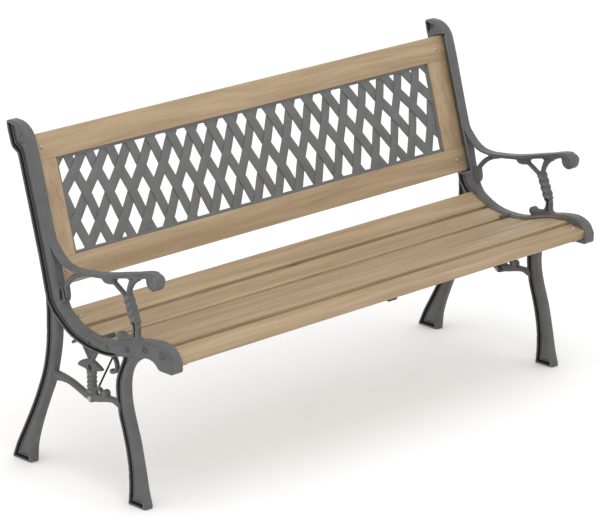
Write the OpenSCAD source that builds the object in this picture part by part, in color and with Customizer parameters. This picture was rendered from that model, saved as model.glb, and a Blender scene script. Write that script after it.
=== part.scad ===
// Garden bench: two cast-iron end frames, six wooden seat slats and a wooden
// back frame around a moulded lattice panel.
// X runs along the seat, the sitter faces -Y, +Z is up. Millimetres.
// The origin lies on the ground under the middle of the bench.

/* [Overall] */
// Length over the two end frames
bench_w = 1220; // [1020:10:1460]
// Depth from the seat curl to the rear feet
bench_d = 502; // [460:1:560]
// Height to the top of the uprights
bench_h = 720; // [660:1:790]

/* [End frames] */
// Thickness of each end frame along X
frame_t = 26; // [24:1:30]
// Depth of the grooves cast into the frame faces
groove_deep = 6; // [3:0.5:7]
// Depth of the inner rebate that takes the wood ends
rebate_deep = 8.5; // [7:0.5:9]
// Thickness of the stretcher, twisted post and small castings
slim_t = 15; // [12:1:18]

/* [Seat] */
// Thickness of the seat slats
slat_t = 13; // [11:0.5:14]
// Thickness of the front slat
front_slat_t = 20; // [15:0.5:21]
// Gap kept between a wooden end and the casting
end_gap = 0.6; // [0.4:0.1:1.5]

/* [Back] */
// Thickness of the back boards
board_t = 15; // [13:0.5:15]
// Height of the top and bottom back rails
rail_h = 54; // [48:1:60]
// Height of the lattice opening between the rails
opening_h = 198; // [180:1:200]
// Width of each stile
stile_w = 59; // [50:1:80]
// Thickness of the lattice panel
lattice_t = 5; // [3:0.5:6]
// Width of one lattice strip
strip_w = 22; // [16:0.5:26]

/* [Fasteners] */
// Shank diameter of the carriage bolts
bolt_d = 6; // [5:0.5:6.5]
// Diameter of the bolt heads
head_d = 9; // [8:0.5:14]
// Diameter of the brace rods
rod_d = 4; // [3:0.5:5]

/* [Hidden] */
$fn = 32;

iron = [0.40, 0.40, 0.40];
pine = [0.72, 0.62, 0.48];
zinc = [0.70, 0.68, 0.66];
poly_grey = [0.38, 0.38, 0.38];

half_w = bench_w / 2;
plan_d = 502;
plan_h = 720;
fit_y = bench_d / plan_d;
fit_z = bench_h / plan_h;
y_mid = 44;
bore_gap = 0.3;
touch = 0.5;

// Moves a point of the side elevation to its real place.
function place(p) = [(p[0] + y_mid) * fit_y, p[1] * fit_z];
function all_placed(line) = [for (p = line) place(p)];

// Smooth curve through a row of points.
function curve_at(a, b, c, d, t) =
    0.5 * (2 * b + (c - a) * t + (2 * a - 5 * b + 4 * c - d) * t * t
    + (3 * b - a - 3 * c + d) * t * t * t);
function smooth(line, steps) = concat(
    [for (i = [0 : len(line) - 2]) for (s = [0 : steps - 1])
        curve_at(line[max(i - 1, 0)], line[i], line[i + 1],
            line[min(i + 2, len(line) - 1)], s / steps)],
    [line[len(line) - 1]]);
function flipped(line) = [for (i = [len(line) - 1 : -1 : 0]) line[i]];
function part_of(line, a, b) = [for (i = [a : b]) line[i]];

// Row of points moved sideways; wide[i] is the distance at point i.
function along(line, i) =
    let (d = line[min(i + 1, len(line) - 1)] - line[max(i - 1, 0)]) d / norm(d);
function beside(line, wide) = [for (i = [0 : len(line) - 1])
    let (d = along(line, i)) line[i] + wide[i] * [-d[1], d[0]]];
function fade(a, b, n) = [for (i = [0 : n - 1]) a + (b - a) * i / (n - 1)];
function level(a, n) = [for (i = [0 : n - 1]) a];
function ribbon(line, wa, wb) = concat(beside(line, wa),
    flipped(beside(line, wb)));

// Slab of a side elevation from x = a to x = b, measured from the outer face.
module slab(a, b) {
    translate([a, 0, 0]) rotate([90, 0, 90]) linear_extrude(b - a) children();
}

module shape(line) {
    polygon(all_placed(line));
}

module bar_along(line, w) {
    path = all_placed(smooth(line, 4));
    n = len(path);
    polygon(ribbon(path, level(w / 2, n), level(-w / 2, n)));
}

// ---------------------------------------------------------------- elevation
head_rear = [[193, 720], [197, 716], [193, 698], [184.5, 672], [180, 665.5],
    [164.5, 657], [161.5, 648]];
upright_rear = [[161.5, 648], [147.5, 600], [133, 550], [119, 500],
    [105, 450], [93, 400], [88.5, 382], [83.5, 366], [70, 348.5], [50, 332.5],
    [30, 319], [10, 309], [-10, 302.5], [-30, 298.5], [-50, 296], [-70, 295.5],
    [-90, 296.3], [-110, 299], [-130, 303.5], [-150, 309], [-170, 314],
    [-190, 319], [-210, 322], [-226, 322], [-237, 319.5], [-245, 314],
    [-252, 308], [-257, 306.5]];
curl_cut = [[-291, 306.5], [-295, 310.5]];
rail_top = [[-295, 334], [-291.5, 342], [-285.5, 349], [-277.5, 354],
    [-267.5, 358], [-257.5, 360], [-247.5, 360.3], [-237.5, 359.8],
    [-217, 357.2], [-197, 353.2], [-175, 347], [-160, 342.5], [-145, 338],
    [-130, 333.5], [-112, 329], [-97, 326.2], [-77, 324.7], [-57, 324.7],
    [-37, 326.2], [-16, 331.2], [4, 339.2], [14, 344.7], [24, 350.5],
    [34, 361.2], [42, 376]];
bend_front = [[44, 385], [47.5, 396], [51, 406], [54.5, 418], [57.5, 431],
    [60.5, 446], [64.5, 462], [70, 477], [75, 494]];
upright_front = [[88.6, 540.2], [102.7, 590.5], [116.5, 640.7], [130.5, 686]];
head_front = [[134, 694], [138, 700.5], [143, 706], [149, 711], [156, 715],
    [164, 718], [173, 719.6], [183, 720]];

arm_top = [[76, 495], [66, 482.5], [54, 470], [44, 461.8], [34, 456.3],
    [24, 452.8], [4, 450.6], [-16, 451.8], [-36, 454.3], [-56, 456.8],
    [-76, 460.3], [-97, 465], [-117, 470], [-137, 475.4], [-157, 480.4],
    [-177, 485.4], [-197, 491.4], [-217, 496.4], [-232.5, 497.5]];
arm_under = [[-230, 486], [-213, 484.5], [-204, 480.5], [-180, 477],
    [-160, 472], [-140, 467], [-120, 461.5], [-100, 456.5], [-80, 453],
    [-60, 450], [-40, 447.5], [-20, 445.5], [0, 445.5], [20, 447.5],
    [30, 450], [42, 455], [50, 461], [60, 470], [80, 500]];
head_bead = [[171.5, 712], [165, 694], [159, 683], [147, 672], [140, 659]];
scroll_at = [-232.5, 480];
scroll_r = 17.5;
scroll_eye_at = [-238, 482.5];
scroll_eye_r = 12;

front_leg_front = [[-206, 0], [-205.6, 8], [-202, 20], [-197, 38],
    [-192, 63], [-186.8, 88], [-181.2, 113], [-174.8, 138], [-166.5, 163],
    [-158.5, 188], [-152.4, 213.4], [-150.7, 238], [-153, 262],
    [-162, 285.6], [-176, 302], [-196, 314], [-212, 325]];
front_leg_rear = [[-155.3, 0], [-156.5, 14], [-158, 32], [-158.2, 50],
    [-157, 75], [-153.3, 100], [-147.7, 125], [-140.5, 150], [-132.4, 175],
    [-126.5, 200], [-123.5, 225], [-124, 250], [-130, 271], [-139, 289],
    [-146, 305], [-148, 325]];
rear_leg_front = [[148, 0], [147.3, 8], [145.7, 24], [143.7, 38],
    [136.7, 63], [127.4, 88], [117, 113], [107.3, 135], [96, 160],
    [84, 185], [75.5, 210], [68.6, 236], [62.8, 261], [58.8, 286],
    [57, 310], [58, 345]];
rear_leg_rear = [[207, 0], [204, 8], [193.3, 32], [183.8, 50], [169.5, 75],
    [155.8, 100], [142.3, 125], [129.7, 150], [118.5, 175], [108, 200],
    [99.6, 225], [93.7, 250], [89.6, 275], [87.5, 300], [86.8, 325],
    [86.5, 350], [87.5, 380]];

post_front = [[-196, 482], [-186, 471], [-176, 465], [-168, 457],
    [-162, 447], [-159.5, 438], [-160, 428], [-164, 414], [-172, 400],
    [-178, 390], [-182, 379], [-183.5, 371], [-184, 358], [-192, 345]];
post_rear = [[-160, 480], [-161, 470.6], [-157, 460.6], [-153, 449.6],
    [-151, 440], [-151, 428], [-154, 414], [-160, 400], [-164, 390],
    [-167, 378], [-167.5, 368], [-163, 357], [-152, 352], [-140, 350],
    [-133, 335]];
post_curl_at = [-131, 345];
post_curl_r = 9.5;
rope_low = [-171, 387];
rope_high = [-154.5, 427];
rope_r = 12;
rope_turns = 4;

branch = [[-24, 446], [-4, 440], [14, 430], [28, 417], [37, 404], [39, 386]];
strut = [[-155, 426], [-128, 441], [-104, 455]];
leaf_under_arm = [[-118, 462], [-110, 447], [-101, 444.5], [-88, 444.5],
    [-83, 449], [-84, 458]];
stretcher_under = [[-134, 186], [-122, 191], [-104, 197], [-84, 194],
    [-64, 188.5], [-52, 186], [-44, 183], [-37, 182], [-29, 183.5],
    [-14, 188], [6, 194.5], [26, 200.5], [46, 202.5], [66, 200], [92, 196]];
stretcher_top = [[-134, 207], [-102, 207.5], [-77, 206], [-56, 202],
    [-37, 200], [-18, 200.5], [3, 206.5], [23, 212.5], [43, 216],
    [63, 218], [84, 219]];
hub_at = [-37, 190];
hub_r = 8.5;
hub_ring_at = [-58, 206];
knob_at = [-80, 211];
leaf_left = [[-37, 273], [-50, 269], [-64, 263], [-74, 256], [-60, 252],
    [-50, 249], [-45, 240], [-37, 236]];
leaf_right = [[-37, 236], [-29, 240], [-22, 248], [-8, 249], [5, 250],
    [-2, 259], [-14, 266], [-37, 273]];
eye_hole_at = [-37, 255];
hook_front = [[-92, 302], [-106, 296], [-114, 284], [-115, 272],
    [-109, 263], [-100, 263]];
hook_rear = [[-4, 306], [8, 301], [17, 294]];
strap_left = [[-37, 266], [-48, 283], [-60, 301]];
strap_right = [[-37, 266], [-24, 284], [-8, 306]];

// Finely divided outlines.
rear_fine = all_placed(smooth(upright_rear, 3));
bend_i = 21;
body_line = concat(all_placed(head_rear), part_of(rear_fine, 1,
    len(rear_fine) - 1), all_placed(curl_cut), all_placed(smooth(rail_top, 2)),
    all_placed(bend_front), all_placed(upright_front), all_placed(head_front));

// ------------------------------------------------------------------- seat
// Each slat: rear top edge, front top edge of the side elevation, thickness.
slats = [
    [[48, 352], [0.5, 330], slat_t],
    [[-6, 326.5], [-59, 318], slat_t],
    [[-68, 318], [-121, 323], slat_t],
    [[-129, 326.5], [-180, 342], slat_t],
    [[-187, 344], [-240, 348], slat_t],
    [[-248, 343.5], [-289, 338], front_slat_t]];
bolted = [0, 1, 5];
screwed = [2, 3, 4];
seat_bolt_x = half_w - 36.6;
wood_half = half_w - frame_t + rebate_deep - end_gap;
lug_t = 5;
seat_lug_w = 30;
lug_in = 50;

function slat_a(i) = place(slats[i][0]);
function slat_b(i) = place(slats[i][1]);
function slat_w(i) = norm(slat_a(i) - slat_b(i));
function slat_turn(i) = let (d = slat_a(i) - slat_b(i)) atan2(d[1], d[0]);
function slat_c(i) = (slat_a(i) + slat_b(i)) / 2;
function slat_low(i, p) = let (a = slat_turn(i))
    p + slats[i][2] * [sin(a), -cos(a)];

// Puts things on a slat: local origin in the middle of its top face.
module on_slat(i) {
    translate([0, slat_c(i)[0], slat_c(i)[1]]) rotate([slat_turn(i), 0, 0])
        children();
}

// ------------------------------------------------------------------- back
back_foot = place([65.6, 397.3]);
back_top_plan = place([151.2, 690.6]);
lean = atan2(back_top_plan[0] - back_foot[0], back_top_plan[1] - back_foot[1]);
back_h = 2 * rail_h + opening_h;
opening_half = wood_half - stile_w;
back_bolt_x = half_w - 45;
panel_grip = 8;
panel_back = 4.5;
panel_gap = 0.3;
bolt_levels = [rail_h / 2, back_h - rail_h / 2];
back_lug_h = 40;

// Puts things on the back: local z runs up the boards, y = 0 is their face.
module on_back() {
    translate([0, back_foot[0], back_foot[1]]) rotate([-lean, 0, 0])
        children();
}

// -------------------------------------------------------------- fasteners
head_h = 3.2;
nut_af = 10;
nut_h = 5;
washer_d = 14;
washer_h = 1.4;
tail = 3;
screw_d = 4;
screw_head_d = 8;
screw_head_h = 2.4;
bore_d = bolt_d + 2 * bore_gap;
nut_r = nut_af / 2 / cos(30);

// Carriage bolt standing on z = 0 with its shank pointing down.
module bolt(len_under) {
    rotate_extrude() polygon(concat([[0, head_h]],
        [for (a = [75 : -15 : 0])
            [head_d / 2 * cos(a), head_h * sin(a)]], [[0, 0]]));
    translate([0, 0, -len_under]) cylinder(d = bolt_d, h = len_under);
}

module washer() {
    difference() {
        cylinder(d = washer_d, h = washer_h);
        translate([0, 0, -1]) cylinder(d = bore_d, h = washer_h + 2);
    }
}

module nut() {
    difference() {
        cylinder(r = nut_r, h = nut_h, $fn = 6);
        translate([0, 0, -1]) cylinder(d = bolt_d + 0.2, h = nut_h + 2);
    }
}

// Screw with its flat head below z = 0 and its shank pointing up.
module screw_up(length) {
    translate([0, 0, -screw_head_h]) cylinder(d = screw_head_d,
        h = screw_head_h);
    cylinder(d = screw_d, h = length);
}

module both_ends(x) {
    for (s = [-1, 1]) translate([s * x, 0, 0]) children();
}

// -------------------------------------------------------------- end frame
groove_a = 2.5;
groove_b = 12;
bead_w = 2.2;
groove_c = 18;
fine_deep = 2.2;
leg_set = 0.8;

module band(line, a0, a1, b0, b1) {
    n = len(line);
    polygon(ribbon(line, fade(a0, a1, n), fade(b0, b1, n)));
}

// Long grooves that follow the rear and lower edges of the body.
module body_grooves(wide) {
    n = len(rear_fine);
    head = all_placed(part_of(head_rear, 1, len(head_rear) - 1));
    long_line = part_of(rear_fine, 1, bend_i);
    low_line = part_of(rear_fine, bend_i, 52);
    if (wide) {
        band(head, -groove_a, -groove_a, -groove_b, -groove_b);
        band(long_line, -groove_a, -groove_a, -groove_b, -groove_b);
        band(low_line, -groove_a, -groove_a, -groove_b, -5.5);
    } else {
        bar_along(head_bead, 4);
        band(long_line, -groove_b - bead_w, -groove_b - bead_w, -groove_c,
            -groove_c);
        band(low_line, -groove_b - bead_w, -7, -groove_c, -8);
    }
}

// Grooves along the back edge of a leg and across its foot.
module leg_grooves(rear, front, wide) {
    full = all_placed(smooth(rear, 2));
    line = part_of(full, 1, len(full) - 5);
    toe = place(front[0])[0] + 9;
    heel = place(rear[0])[0];
    if (wide) {
        band(line, groove_a, groove_a, 10.5, 10.5);
        translate([toe, 3]) square([heel - toe - 4.5, 9]);
    } else {
        band(line, 12.2, 12.2, 15.6, 15.6);
        translate([toe, 13.6]) square([heel - toe - 14, 2.4]);
    }
}

module leg_body(front, rear) {
    shape(concat(smooth(front, 3), flipped(smooth(rear, 3))));
}

module leg(front, rear) {
    difference() {
        slab(leg_set, frame_t - leg_set) leg_body(front, rear);
        for (side = [0, 1]) {
            edge_a = side == 0 ? leg_set - 1 : frame_t - leg_set - groove_deep;
            edge_b = side == 0 ? leg_set - 1 : frame_t - leg_set - fine_deep;
            slab(edge_a, edge_a + groove_deep + 1)
                leg_grooves(rear, front, true);
            slab(edge_b, edge_b + fine_deep + 1)
                leg_grooves(rear, front, false);
        }
    }
}

// Room on the inner face for the back boards.
module back_rebate() {
    on_back() translate([-wood_half - end_gap, -13, -2])
        cube([40, 13 + board_t + 0.2, back_h + 4]);
}

module back_lugs() {
    on_back() for (z = bolt_levels) difference() {
        translate([-half_w + frame_t - rebate_deep - touch, board_t,
            z - back_lug_h / 2])
            cube([lug_in - frame_t + rebate_deep + touch + 14, lug_t,
                back_lug_h]);
        translate([-back_bolt_x, board_t - 1, z]) rotate([-90, 0, 0])
            cylinder(d = bore_d, h = lug_t + 2);
    }
}

// Room on the inner face for the slat ends, and the lugs that carry them.
module slat_rebates() {
    for (i = [0 : len(slats) - 1]) on_slat(i)
        translate([-wood_half - end_gap, -slat_w(i) / 2 - 0.4,
            -slats[i][2]])
            cube([40, slat_w(i) + 0.8, slats[i][2] + 0.5]);
}

module slat_lugs() {
    for (i = [0 : len(slats) - 1]) on_slat(i) difference() {
        translate([-half_w + frame_t - rebate_deep - touch, -seat_lug_w / 2,
            -slats[i][2] - lug_t])
            cube([rebate_deep + touch + 24, seat_lug_w, lug_t]);
        translate([-seat_bolt_x, 0, -slats[i][2] - lug_t - 1])
            cylinder(d = bore_d, h = lug_t + 2);
    }
}

// Four tilted rolls that read as a twisted rope.
module rope() {
    low = place(rope_low);
    high = place(rope_high);
    tilt = atan2(high[0] - low[0], high[1] - low[1]);
    step = norm(high - low) / (rope_turns - 1);
    translate([frame_t / 2, low[0], low[1]]) rotate([-tilt, 0, 0])
        for (i = [0 : rope_turns - 1]) translate([0, 0, i * step])
            rotate([-14, 0, 0]) rotate_extrude() polygon([
                [0, -step * 0.52], [rope_r - 4, -step * 0.52],
                [rope_r - 1.2, -step * 0.34], [rope_r, 0],
                [rope_r - 1.2, step * 0.34], [rope_r - 4, step * 0.52],
                [0, step * 0.52]]);
}

// Ring of round beads cast on the outer side of the seat rail.
scroll_marks = [[-262, 340, 13], [-212, 338, 11], [-160, 325, 10],
    [-100, 313, 9], [-46, 313, 8.5]];
module rail_scrolls() {
    for (m = scroll_marks) {
        p = place([m[0], m[1]]);
        translate([-0.9, p[0], p[1]]) rotate([0, 90, 0]) {
            difference() {
                cylinder(r = m[2] - 1.5, h = 2);
                translate([0, 0, -1]) cylinder(r = m[2] - 4, h = 4);
            }
            cylinder(r = 2.6, h = 2);
        }
    }
}

module disc_at(p, r, t) {
    q = place(p);
    translate([(frame_t - t) / 2, q[0], q[1]]) rotate([0, 90, 0])
        cylinder(r = r, h = t);
}

module slim(t) {
    slab((frame_t - t) / 2, (frame_t + t) / 2) children();
}

module arm() {
    slab(0, frame_t) shape(concat(smooth(arm_top, 2), smooth(arm_under, 2)));
    disc_at(scroll_at, scroll_r, frame_t - 4);
    disc_at(scroll_eye_at, scroll_eye_r, frame_t + 2);
}

module post() {
    slim(slim_t) shape(concat(smooth(post_front, 2),
        flipped(smooth(post_rear, 2))));
    rope();
    disc_at(post_curl_at, post_curl_r, slim_t + 3);
    slim(slim_t - 3) bar_along(strut, 8);
    slim(slim_t + 4) shape(leaf_under_arm);
}

module branch_part() {
    slim(slim_t - 4) bar_along(branch, 10);
    slim(slim_t - 2) shape([[31, 407], [44, 408], [50, 398], [48, 380],
        [40, 373], [31, 376], [28, 386], [29.5, 397]]);
}

module stretcher() {
    slim(slim_t) shape(concat(smooth(stretcher_under, 2),
        flipped(smooth(stretcher_top, 2))));
    disc_at(hub_at, hub_r, slim_t);
    slim(slim_t - 4) shape([[-46, 196], [-28, 196], [-28, 242], [-46, 242]]);
    for (z = [206 : 9 : 242]) disc_row(z);
    difference() {
        slim(slim_t - 5) {
            shape(leaf_left);
            shape(leaf_right);
        }
        disc_at(eye_hole_at, 6, frame_t + 4);
    }
    difference() {
        disc_at(hub_ring_at, 12, slim_t - 2);
        disc_at(hub_ring_at, 6.5, frame_t);
    }
    disc_at(knob_at, 8, slim_t + 1);
    slim(slim_t - 3) bar_along(hook_front, 6);
    disc_at([-101, 263], 5, slim_t - 1);
    slim(slim_t - 3) bar_along(hook_rear, 6);
    slim(slim_t - 5) bar_along(strap_left, 8);
    slim(slim_t - 5) bar_along(strap_right, 8);
    slim(5) shape([[-37, 266], [-60, 301], [-8, 306]]);
}

// One collar of the small turned column over the hub.
module disc_row(z) {
    p = place([-37, z]);
    translate([frame_t / 2, p[0], p[1]]) rotate_extrude() polygon([[0, -3.4],
        [9, -3.4], [11.5, 0], [9, 3.4], [0, 3.4]]);
}

module end_frame() {
    difference() {
        union() {
            slab(0, frame_t) polygon(body_line);
            leg(front_leg_front, front_leg_rear);
            leg(rear_leg_front, rear_leg_rear);
            arm();
            post();
            branch_part();
            stretcher();
            rail_scrolls();
        }
        slab(-1, groove_deep) body_grooves(true);
        slab(-1, fine_deep) body_grooves(false);
        slab(frame_t - groove_deep, frame_t + 1) inner_grooves(true);
        slab(frame_t - fine_deep, frame_t + 1) inner_grooves(false);
        translate([half_w, 0, 0]) back_rebate();
        translate([half_w, 0, 0]) slat_rebates();
        brace_bore();
    }
    translate([half_w, 0, 0]) back_lugs();
    translate([half_w, 0, 0]) slat_lugs();
}

// The inner face repeats the grooves only at the head and round the bend.
module inner_grooves(wide) {
    head = all_placed([[197, 716], [193, 698]]);
    bend = part_of(rear_fine, 14, 27);
    a = wide ? -groove_a : -groove_b - bead_w;
    b = wide ? -groove_b : -groove_c;
    band(head, a, a, b, b);
    band(bend, a, a, b, b);
}

module brace_bore() {
    p = place(hub_at);
    translate([-1, p[0], p[1]]) rotate([0, 90, 0])
        cylinder(d = brace_bolt_d + 2 * bore_gap, h = frame_t + 2);
}

module left_end_frame() {
    color(iron) translate([-half_w, 0, 0]) end_frame();
}

module right_end_frame() {
    color(iron) mirror([1, 0, 0]) translate([-half_w, 0, 0]) end_frame();
}

// ------------------------------------------------------------------ slats
module slat(i) {
    t = slats[i][2];
    color(pine) difference() {
        on_slat(i) translate([-wood_half, -slat_w(i) / 2, -t])
            cube([2 * wood_half, slat_w(i), t]);
        on_slat(i) {
            for (k = bolted) if (k == i) both_ends(seat_bolt_x)
                translate([0, 0, -t - 1]) cylinder(d = bore_d, h = t + 2);
            for (k = screwed) if (k == i) both_ends(seat_bolt_x)
                translate([0, 0, -t - 1]) pilot();
            translate([0, 0, -t - 1]) pilot();
        }
        if (i == brace_slat) both_ends(brace_x) brace_pilot();
    }
}

module pilot() {
    cylinder(d = screw_d + 0.2, h = pilot_deep + 1);
}

pilot_deep = 9;
screw_in = 8.5;
module seat_slat_1() {
    slat(0);
}
module seat_slat_2() {
    slat(1);
}
module seat_slat_3() {
    slat(2);
}
module seat_slat_4() {
    slat(3);
}
module seat_slat_5() {
    slat(4);
}
module seat_slat_6() {
    slat(5);
}

// ------------------------------------------------------------ back boards
dowel_d = 8;
dowel_in = 18;
dowel_step = 15;
module dowel_row(grow) {
    for (s = [-1, 1]) for (d = [-dowel_step, dowel_step])
        for (z = [rail_h, back_h - rail_h])
            translate([s * (wood_half - stile_w / 2) + d, board_t / 2 + 2,
                z - dowel_in - grow]) cylinder(d = dowel_d + grow,
                h = 2 * (dowel_in + grow));
}

module panel_slot() {
    translate([-opening_half - panel_grip - panel_gap,
        panel_back - panel_gap, rail_h - panel_grip - panel_gap])
        cube([2 * (opening_half + panel_grip + panel_gap),
            lattice_t + 2 * panel_gap,
            opening_h + 2 * (panel_grip + panel_gap)]);
}

module back_bores() {
    for (z = bolt_levels) both_ends(back_bolt_x) translate([0, -1, z])
        rotate([-90, 0, 0]) cylinder(d = bore_d, h = board_t + 2);
}

module back_board(x0, x1, z0, z1) {
    color(pine) on_back() difference() {
        translate([x0, 0, z0]) cube([x1 - x0, board_t, z1 - z0]);
        panel_slot();
        back_bores();
        dowel_row(0.2);
    }
}

module back_top_rail() {
    back_board(-wood_half, wood_half, back_h - rail_h, back_h);
}
module back_bottom_rail() {
    back_board(-wood_half, wood_half, 0, rail_h);
}
module back_stile_left() {
    back_board(-wood_half, -opening_half, rail_h + 0.1, back_h - rail_h - 0.1);
}
module back_stile_right() {
    back_board(opening_half, wood_half, rail_h + 0.1, back_h - rail_h - 0.1);
}

module back_dowels() {
    color(pine) on_back() dowel_row(0);
}

// ---------------------------------------------------------------- lattice
// Strips lean more and more towards both ends; the two families mirror each
// other and pass over and under in turn.
strip_first = -10;
strip_last = 11;
border = 6;
weave_t = 0.9;
mid_z = rail_h + opening_h / 2;
pitch_fit = opening_half / 533;
function strip_x(n) = pitch_fit
    * (-10.1 + 58.08 * n - 0.45 * pow(n, 2) + 0.0246 * pow(n, 3));
function strip_lean(n) = 0.51 - 0.0314 * n + 0.00188 * pow(n, 2)
    - 0.00006 * pow(n, 3);

function strip_half(n) = strip_w / 2 * sqrt(1 + strip_lean(n) * strip_lean(n));
function strip_line(n, z) = strip_x(n) + strip_lean(n) * (z - mid_z);

module strip(n) {
    z0 = rail_h - panel_grip;
    z1 = rail_h + opening_h + panel_grip;
    h = strip_half(n);
    polygon([[strip_line(n, z0) - h, z0], [strip_line(n, z0) + h, z0],
        [strip_line(n, z1) + h, z1], [strip_line(n, z1) - h, z1]]);
}

module panel_outline(grow) {
    translate([-opening_half + grow, rail_h + grow])
        square([2 * (opening_half - grow), opening_h - 2 * grow]);
}

module strips() {
    for (n = [strip_first + 0.5 : strip_last - 0.5]) strip(n);
}

module lattice_panel() {
    color(poly_grey) on_back() translate([0, panel_back + lattice_t, 0])
        rotate([90, 0, 0]) {
            linear_extrude(lattice_t) {
                intersection() {
                    panel_outline(-panel_grip);
                    union() {
                        strips();
                        mirror([1, 0]) strips();
                    }
                }
                difference() {
                    panel_outline(-panel_grip);
                    panel_outline(border);
                }
            }
            translate([0, 0, lattice_t - touch]) weave();
        }
}

// Raised crossings: one family lies on top in every second row.
module weave() {
    linear_extrude(weave_t + touch) intersection() {
        panel_outline(1);
        union() {
            over_rows(0);
            mirror([1, 0]) over_rows(1);
        }
    }
}

// Crossing of strip n with mirrored strip m, and its height on the panel.
function cross_z(n, m) = mid_z - (strip_x(n) + strip_x(m))
    / (strip_lean(n) + strip_lean(m));

module over_rows(odd) {
    for (n = [strip_first + 0.5 : strip_last - 0.5])
        for (m = [strip_first + 0.5 : strip_last - 0.5])
            if ((n + m + 60 + odd) % 2 == 0 && cross_z(n, m) > rail_h - 8
                && cross_z(n, m) < rail_h + opening_h + 8) over_pad(n, m);
}

module over_pad(n, m) {
    z = cross_z(n, m);
    reach = strip_w / 2 * sqrt(1 + strip_lean(m) * strip_lean(m))
        / (strip_lean(n) + strip_lean(m)) + 1;
    h = strip_half(n) - 0.3;
    polygon([[strip_line(n, z - reach) - h, z - reach],
        [strip_line(n, z - reach) + h, z - reach],
        [strip_line(n, z + reach) + h, z + reach],
        [strip_line(n, z + reach) - h, z + reach]]);
}

// -------------------------------------------------- strap under the seat
strap_w = 25;
strap_t = 3;
module seat_strap() {
    top = [for (i = [0 : len(slats) - 1])
        each [slat_low(i, slat_a(i)), slat_low(i, slat_b(i))]];
    under = [for (i = [len(top) - 1 : -1 : 0])
        top[i] - [0, strap_t * 1.1]];
    color(iron) difference() {
        translate([-strap_w / 2, 0, 0]) slab(0, strap_w)
            polygon(concat(top, under));
        for (i = [0 : len(slats) - 1]) on_slat(i)
            translate([0, 0, -slats[i][2] - strap_t * 2])
                cylinder(d = screw_d + 2 * bore_gap, h = strap_t * 3);
    }
}

module strap_screws() {
    color(zinc) for (i = [0 : len(slats) - 1]) on_slat(i)
        translate([0, 0, -slats[i][2] - strap_t * 1.14])
            screw_up(screw_in + strap_t);
}

// -------------------------------------------------------------- brace rods
brace_bolt_d = 5;
brace_slat = 1;
brace_x = half_w - 106;
tab_t = 3;
tab_r = 8;
brace_low = place(hub_at);
brace_top_z = slat_low(brace_slat, slat_c(brace_slat))[1];
stretcher_in = half_w - (frame_t - slim_t) / 2 - slim_t;

module brace_pilot() {
    translate([0, brace_low[0], brace_top_z - 6]) cylinder(
        d = screw_d + 0.2, h = pilot_deep + 6);
}

module brace_rod(s) {
    a = [s * (stretcher_in - tab_t / 2 - 0.3), brace_low[0],
        brace_low[1] + tab_r - 1];
    b = [s * (brace_x + tab_r - 1), brace_low[0], brace_top_z - pad_t + 1];
    d = b - a;
    color(iron) difference() {
        union() {
            translate(a) rotate([0, atan2(d[0], d[2]), 0])
                cylinder(d = rod_d, h = norm(d));
            translate([s * (stretcher_in - tab_t / 2), brace_low[0],
                brace_low[1]]) rotate([0, 90, 0])
                cylinder(r = tab_r, h = tab_t, center = true);
            brace_pad(s);
        }
        translate([s * stretcher_in, brace_low[0], brace_low[1]])
            rotate([0, 90, 0]) cylinder(d = brace_bolt_d + 2 * bore_gap,
                h = 30, center = true);
        translate([s * brace_x, brace_low[0], brace_top_z - 20])
            cylinder(d = screw_d + 2 * bore_gap, h = 40);
    }
}

// Flat end of the rod lying against the underside of its slat.
module brace_pad(s) {
    translate([s * brace_x, 0, 0]) on_slat(brace_slat)
        translate([-tab_r, pad_y - tab_r, -slat_t - pad_t])
            cube([2 * tab_r, 2 * tab_r, pad_t]);
}
pad_t = 5;
pad_y = (brace_low[0] - slat_c(brace_slat)[0]) / cos(slat_turn(brace_slat));

module brace_rod_left() {
    brace_rod(-1);
}
module brace_rod_right() {
    brace_rod(1);
}

module brace_bolts() {
    p = brace_low;
    stretcher_out = half_w - (frame_t - slim_t) / 2;
    color(zinc) for (s = [-1, 1]) translate([s * stretcher_out, p[0], p[1]])
        rotate([0, s * 90, 0]) {
            rotate_extrude() polygon([[0, 0], [5, 0], [4.2, 2], [2, 3],
                [0, 3]]);
            translate([0, 0, -slim_t - tab_t - 8])
                cylinder(d = brace_bolt_d, h = slim_t + tab_t + 8);
        }
}

module brace_nuts() {
    p = brace_low;
    color(zinc) for (s = [-1, 1])
        translate([s * (stretcher_in - tab_t), p[0], p[1]])
            rotate([0, -s * 90, 0]) difference() {
                cylinder(r = 4.6, h = 4, $fn = 6);
                translate([0, 0, -1]) cylinder(d = brace_bolt_d + 0.2, h = 6);
            }
}

module brace_screws() {
    color(zinc) for (s = [-1, 1]) translate([s * brace_x, 0, 0])
        on_slat(brace_slat) translate([0, pad_y, -slat_t - pad_t])
            screw_up(pad_t + screw_in - 1);
}

// --------------------------------------------------------- seat fasteners
module seat_bolts() {
    color(zinc) for (i = bolted) on_slat(i) both_ends(seat_bolt_x)
        bolt(slats[i][2] + lug_t + washer_h + nut_h + tail);
}
module seat_washers() {
    color(zinc) for (i = bolted) on_slat(i) both_ends(seat_bolt_x)
        translate([0, 0, -slats[i][2] - lug_t - washer_h]) washer();
}
module seat_nuts() {
    color(zinc) for (i = bolted) on_slat(i) both_ends(seat_bolt_x)
        translate([0, 0, -slats[i][2] - lug_t - washer_h - nut_h]) nut();
}
module seat_screws() {
    color(zinc) for (i = screwed) on_slat(i) both_ends(seat_bolt_x)
        translate([0, 0, -slats[i][2] - lug_t]) screw_up(lug_t + screw_in);
}

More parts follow.
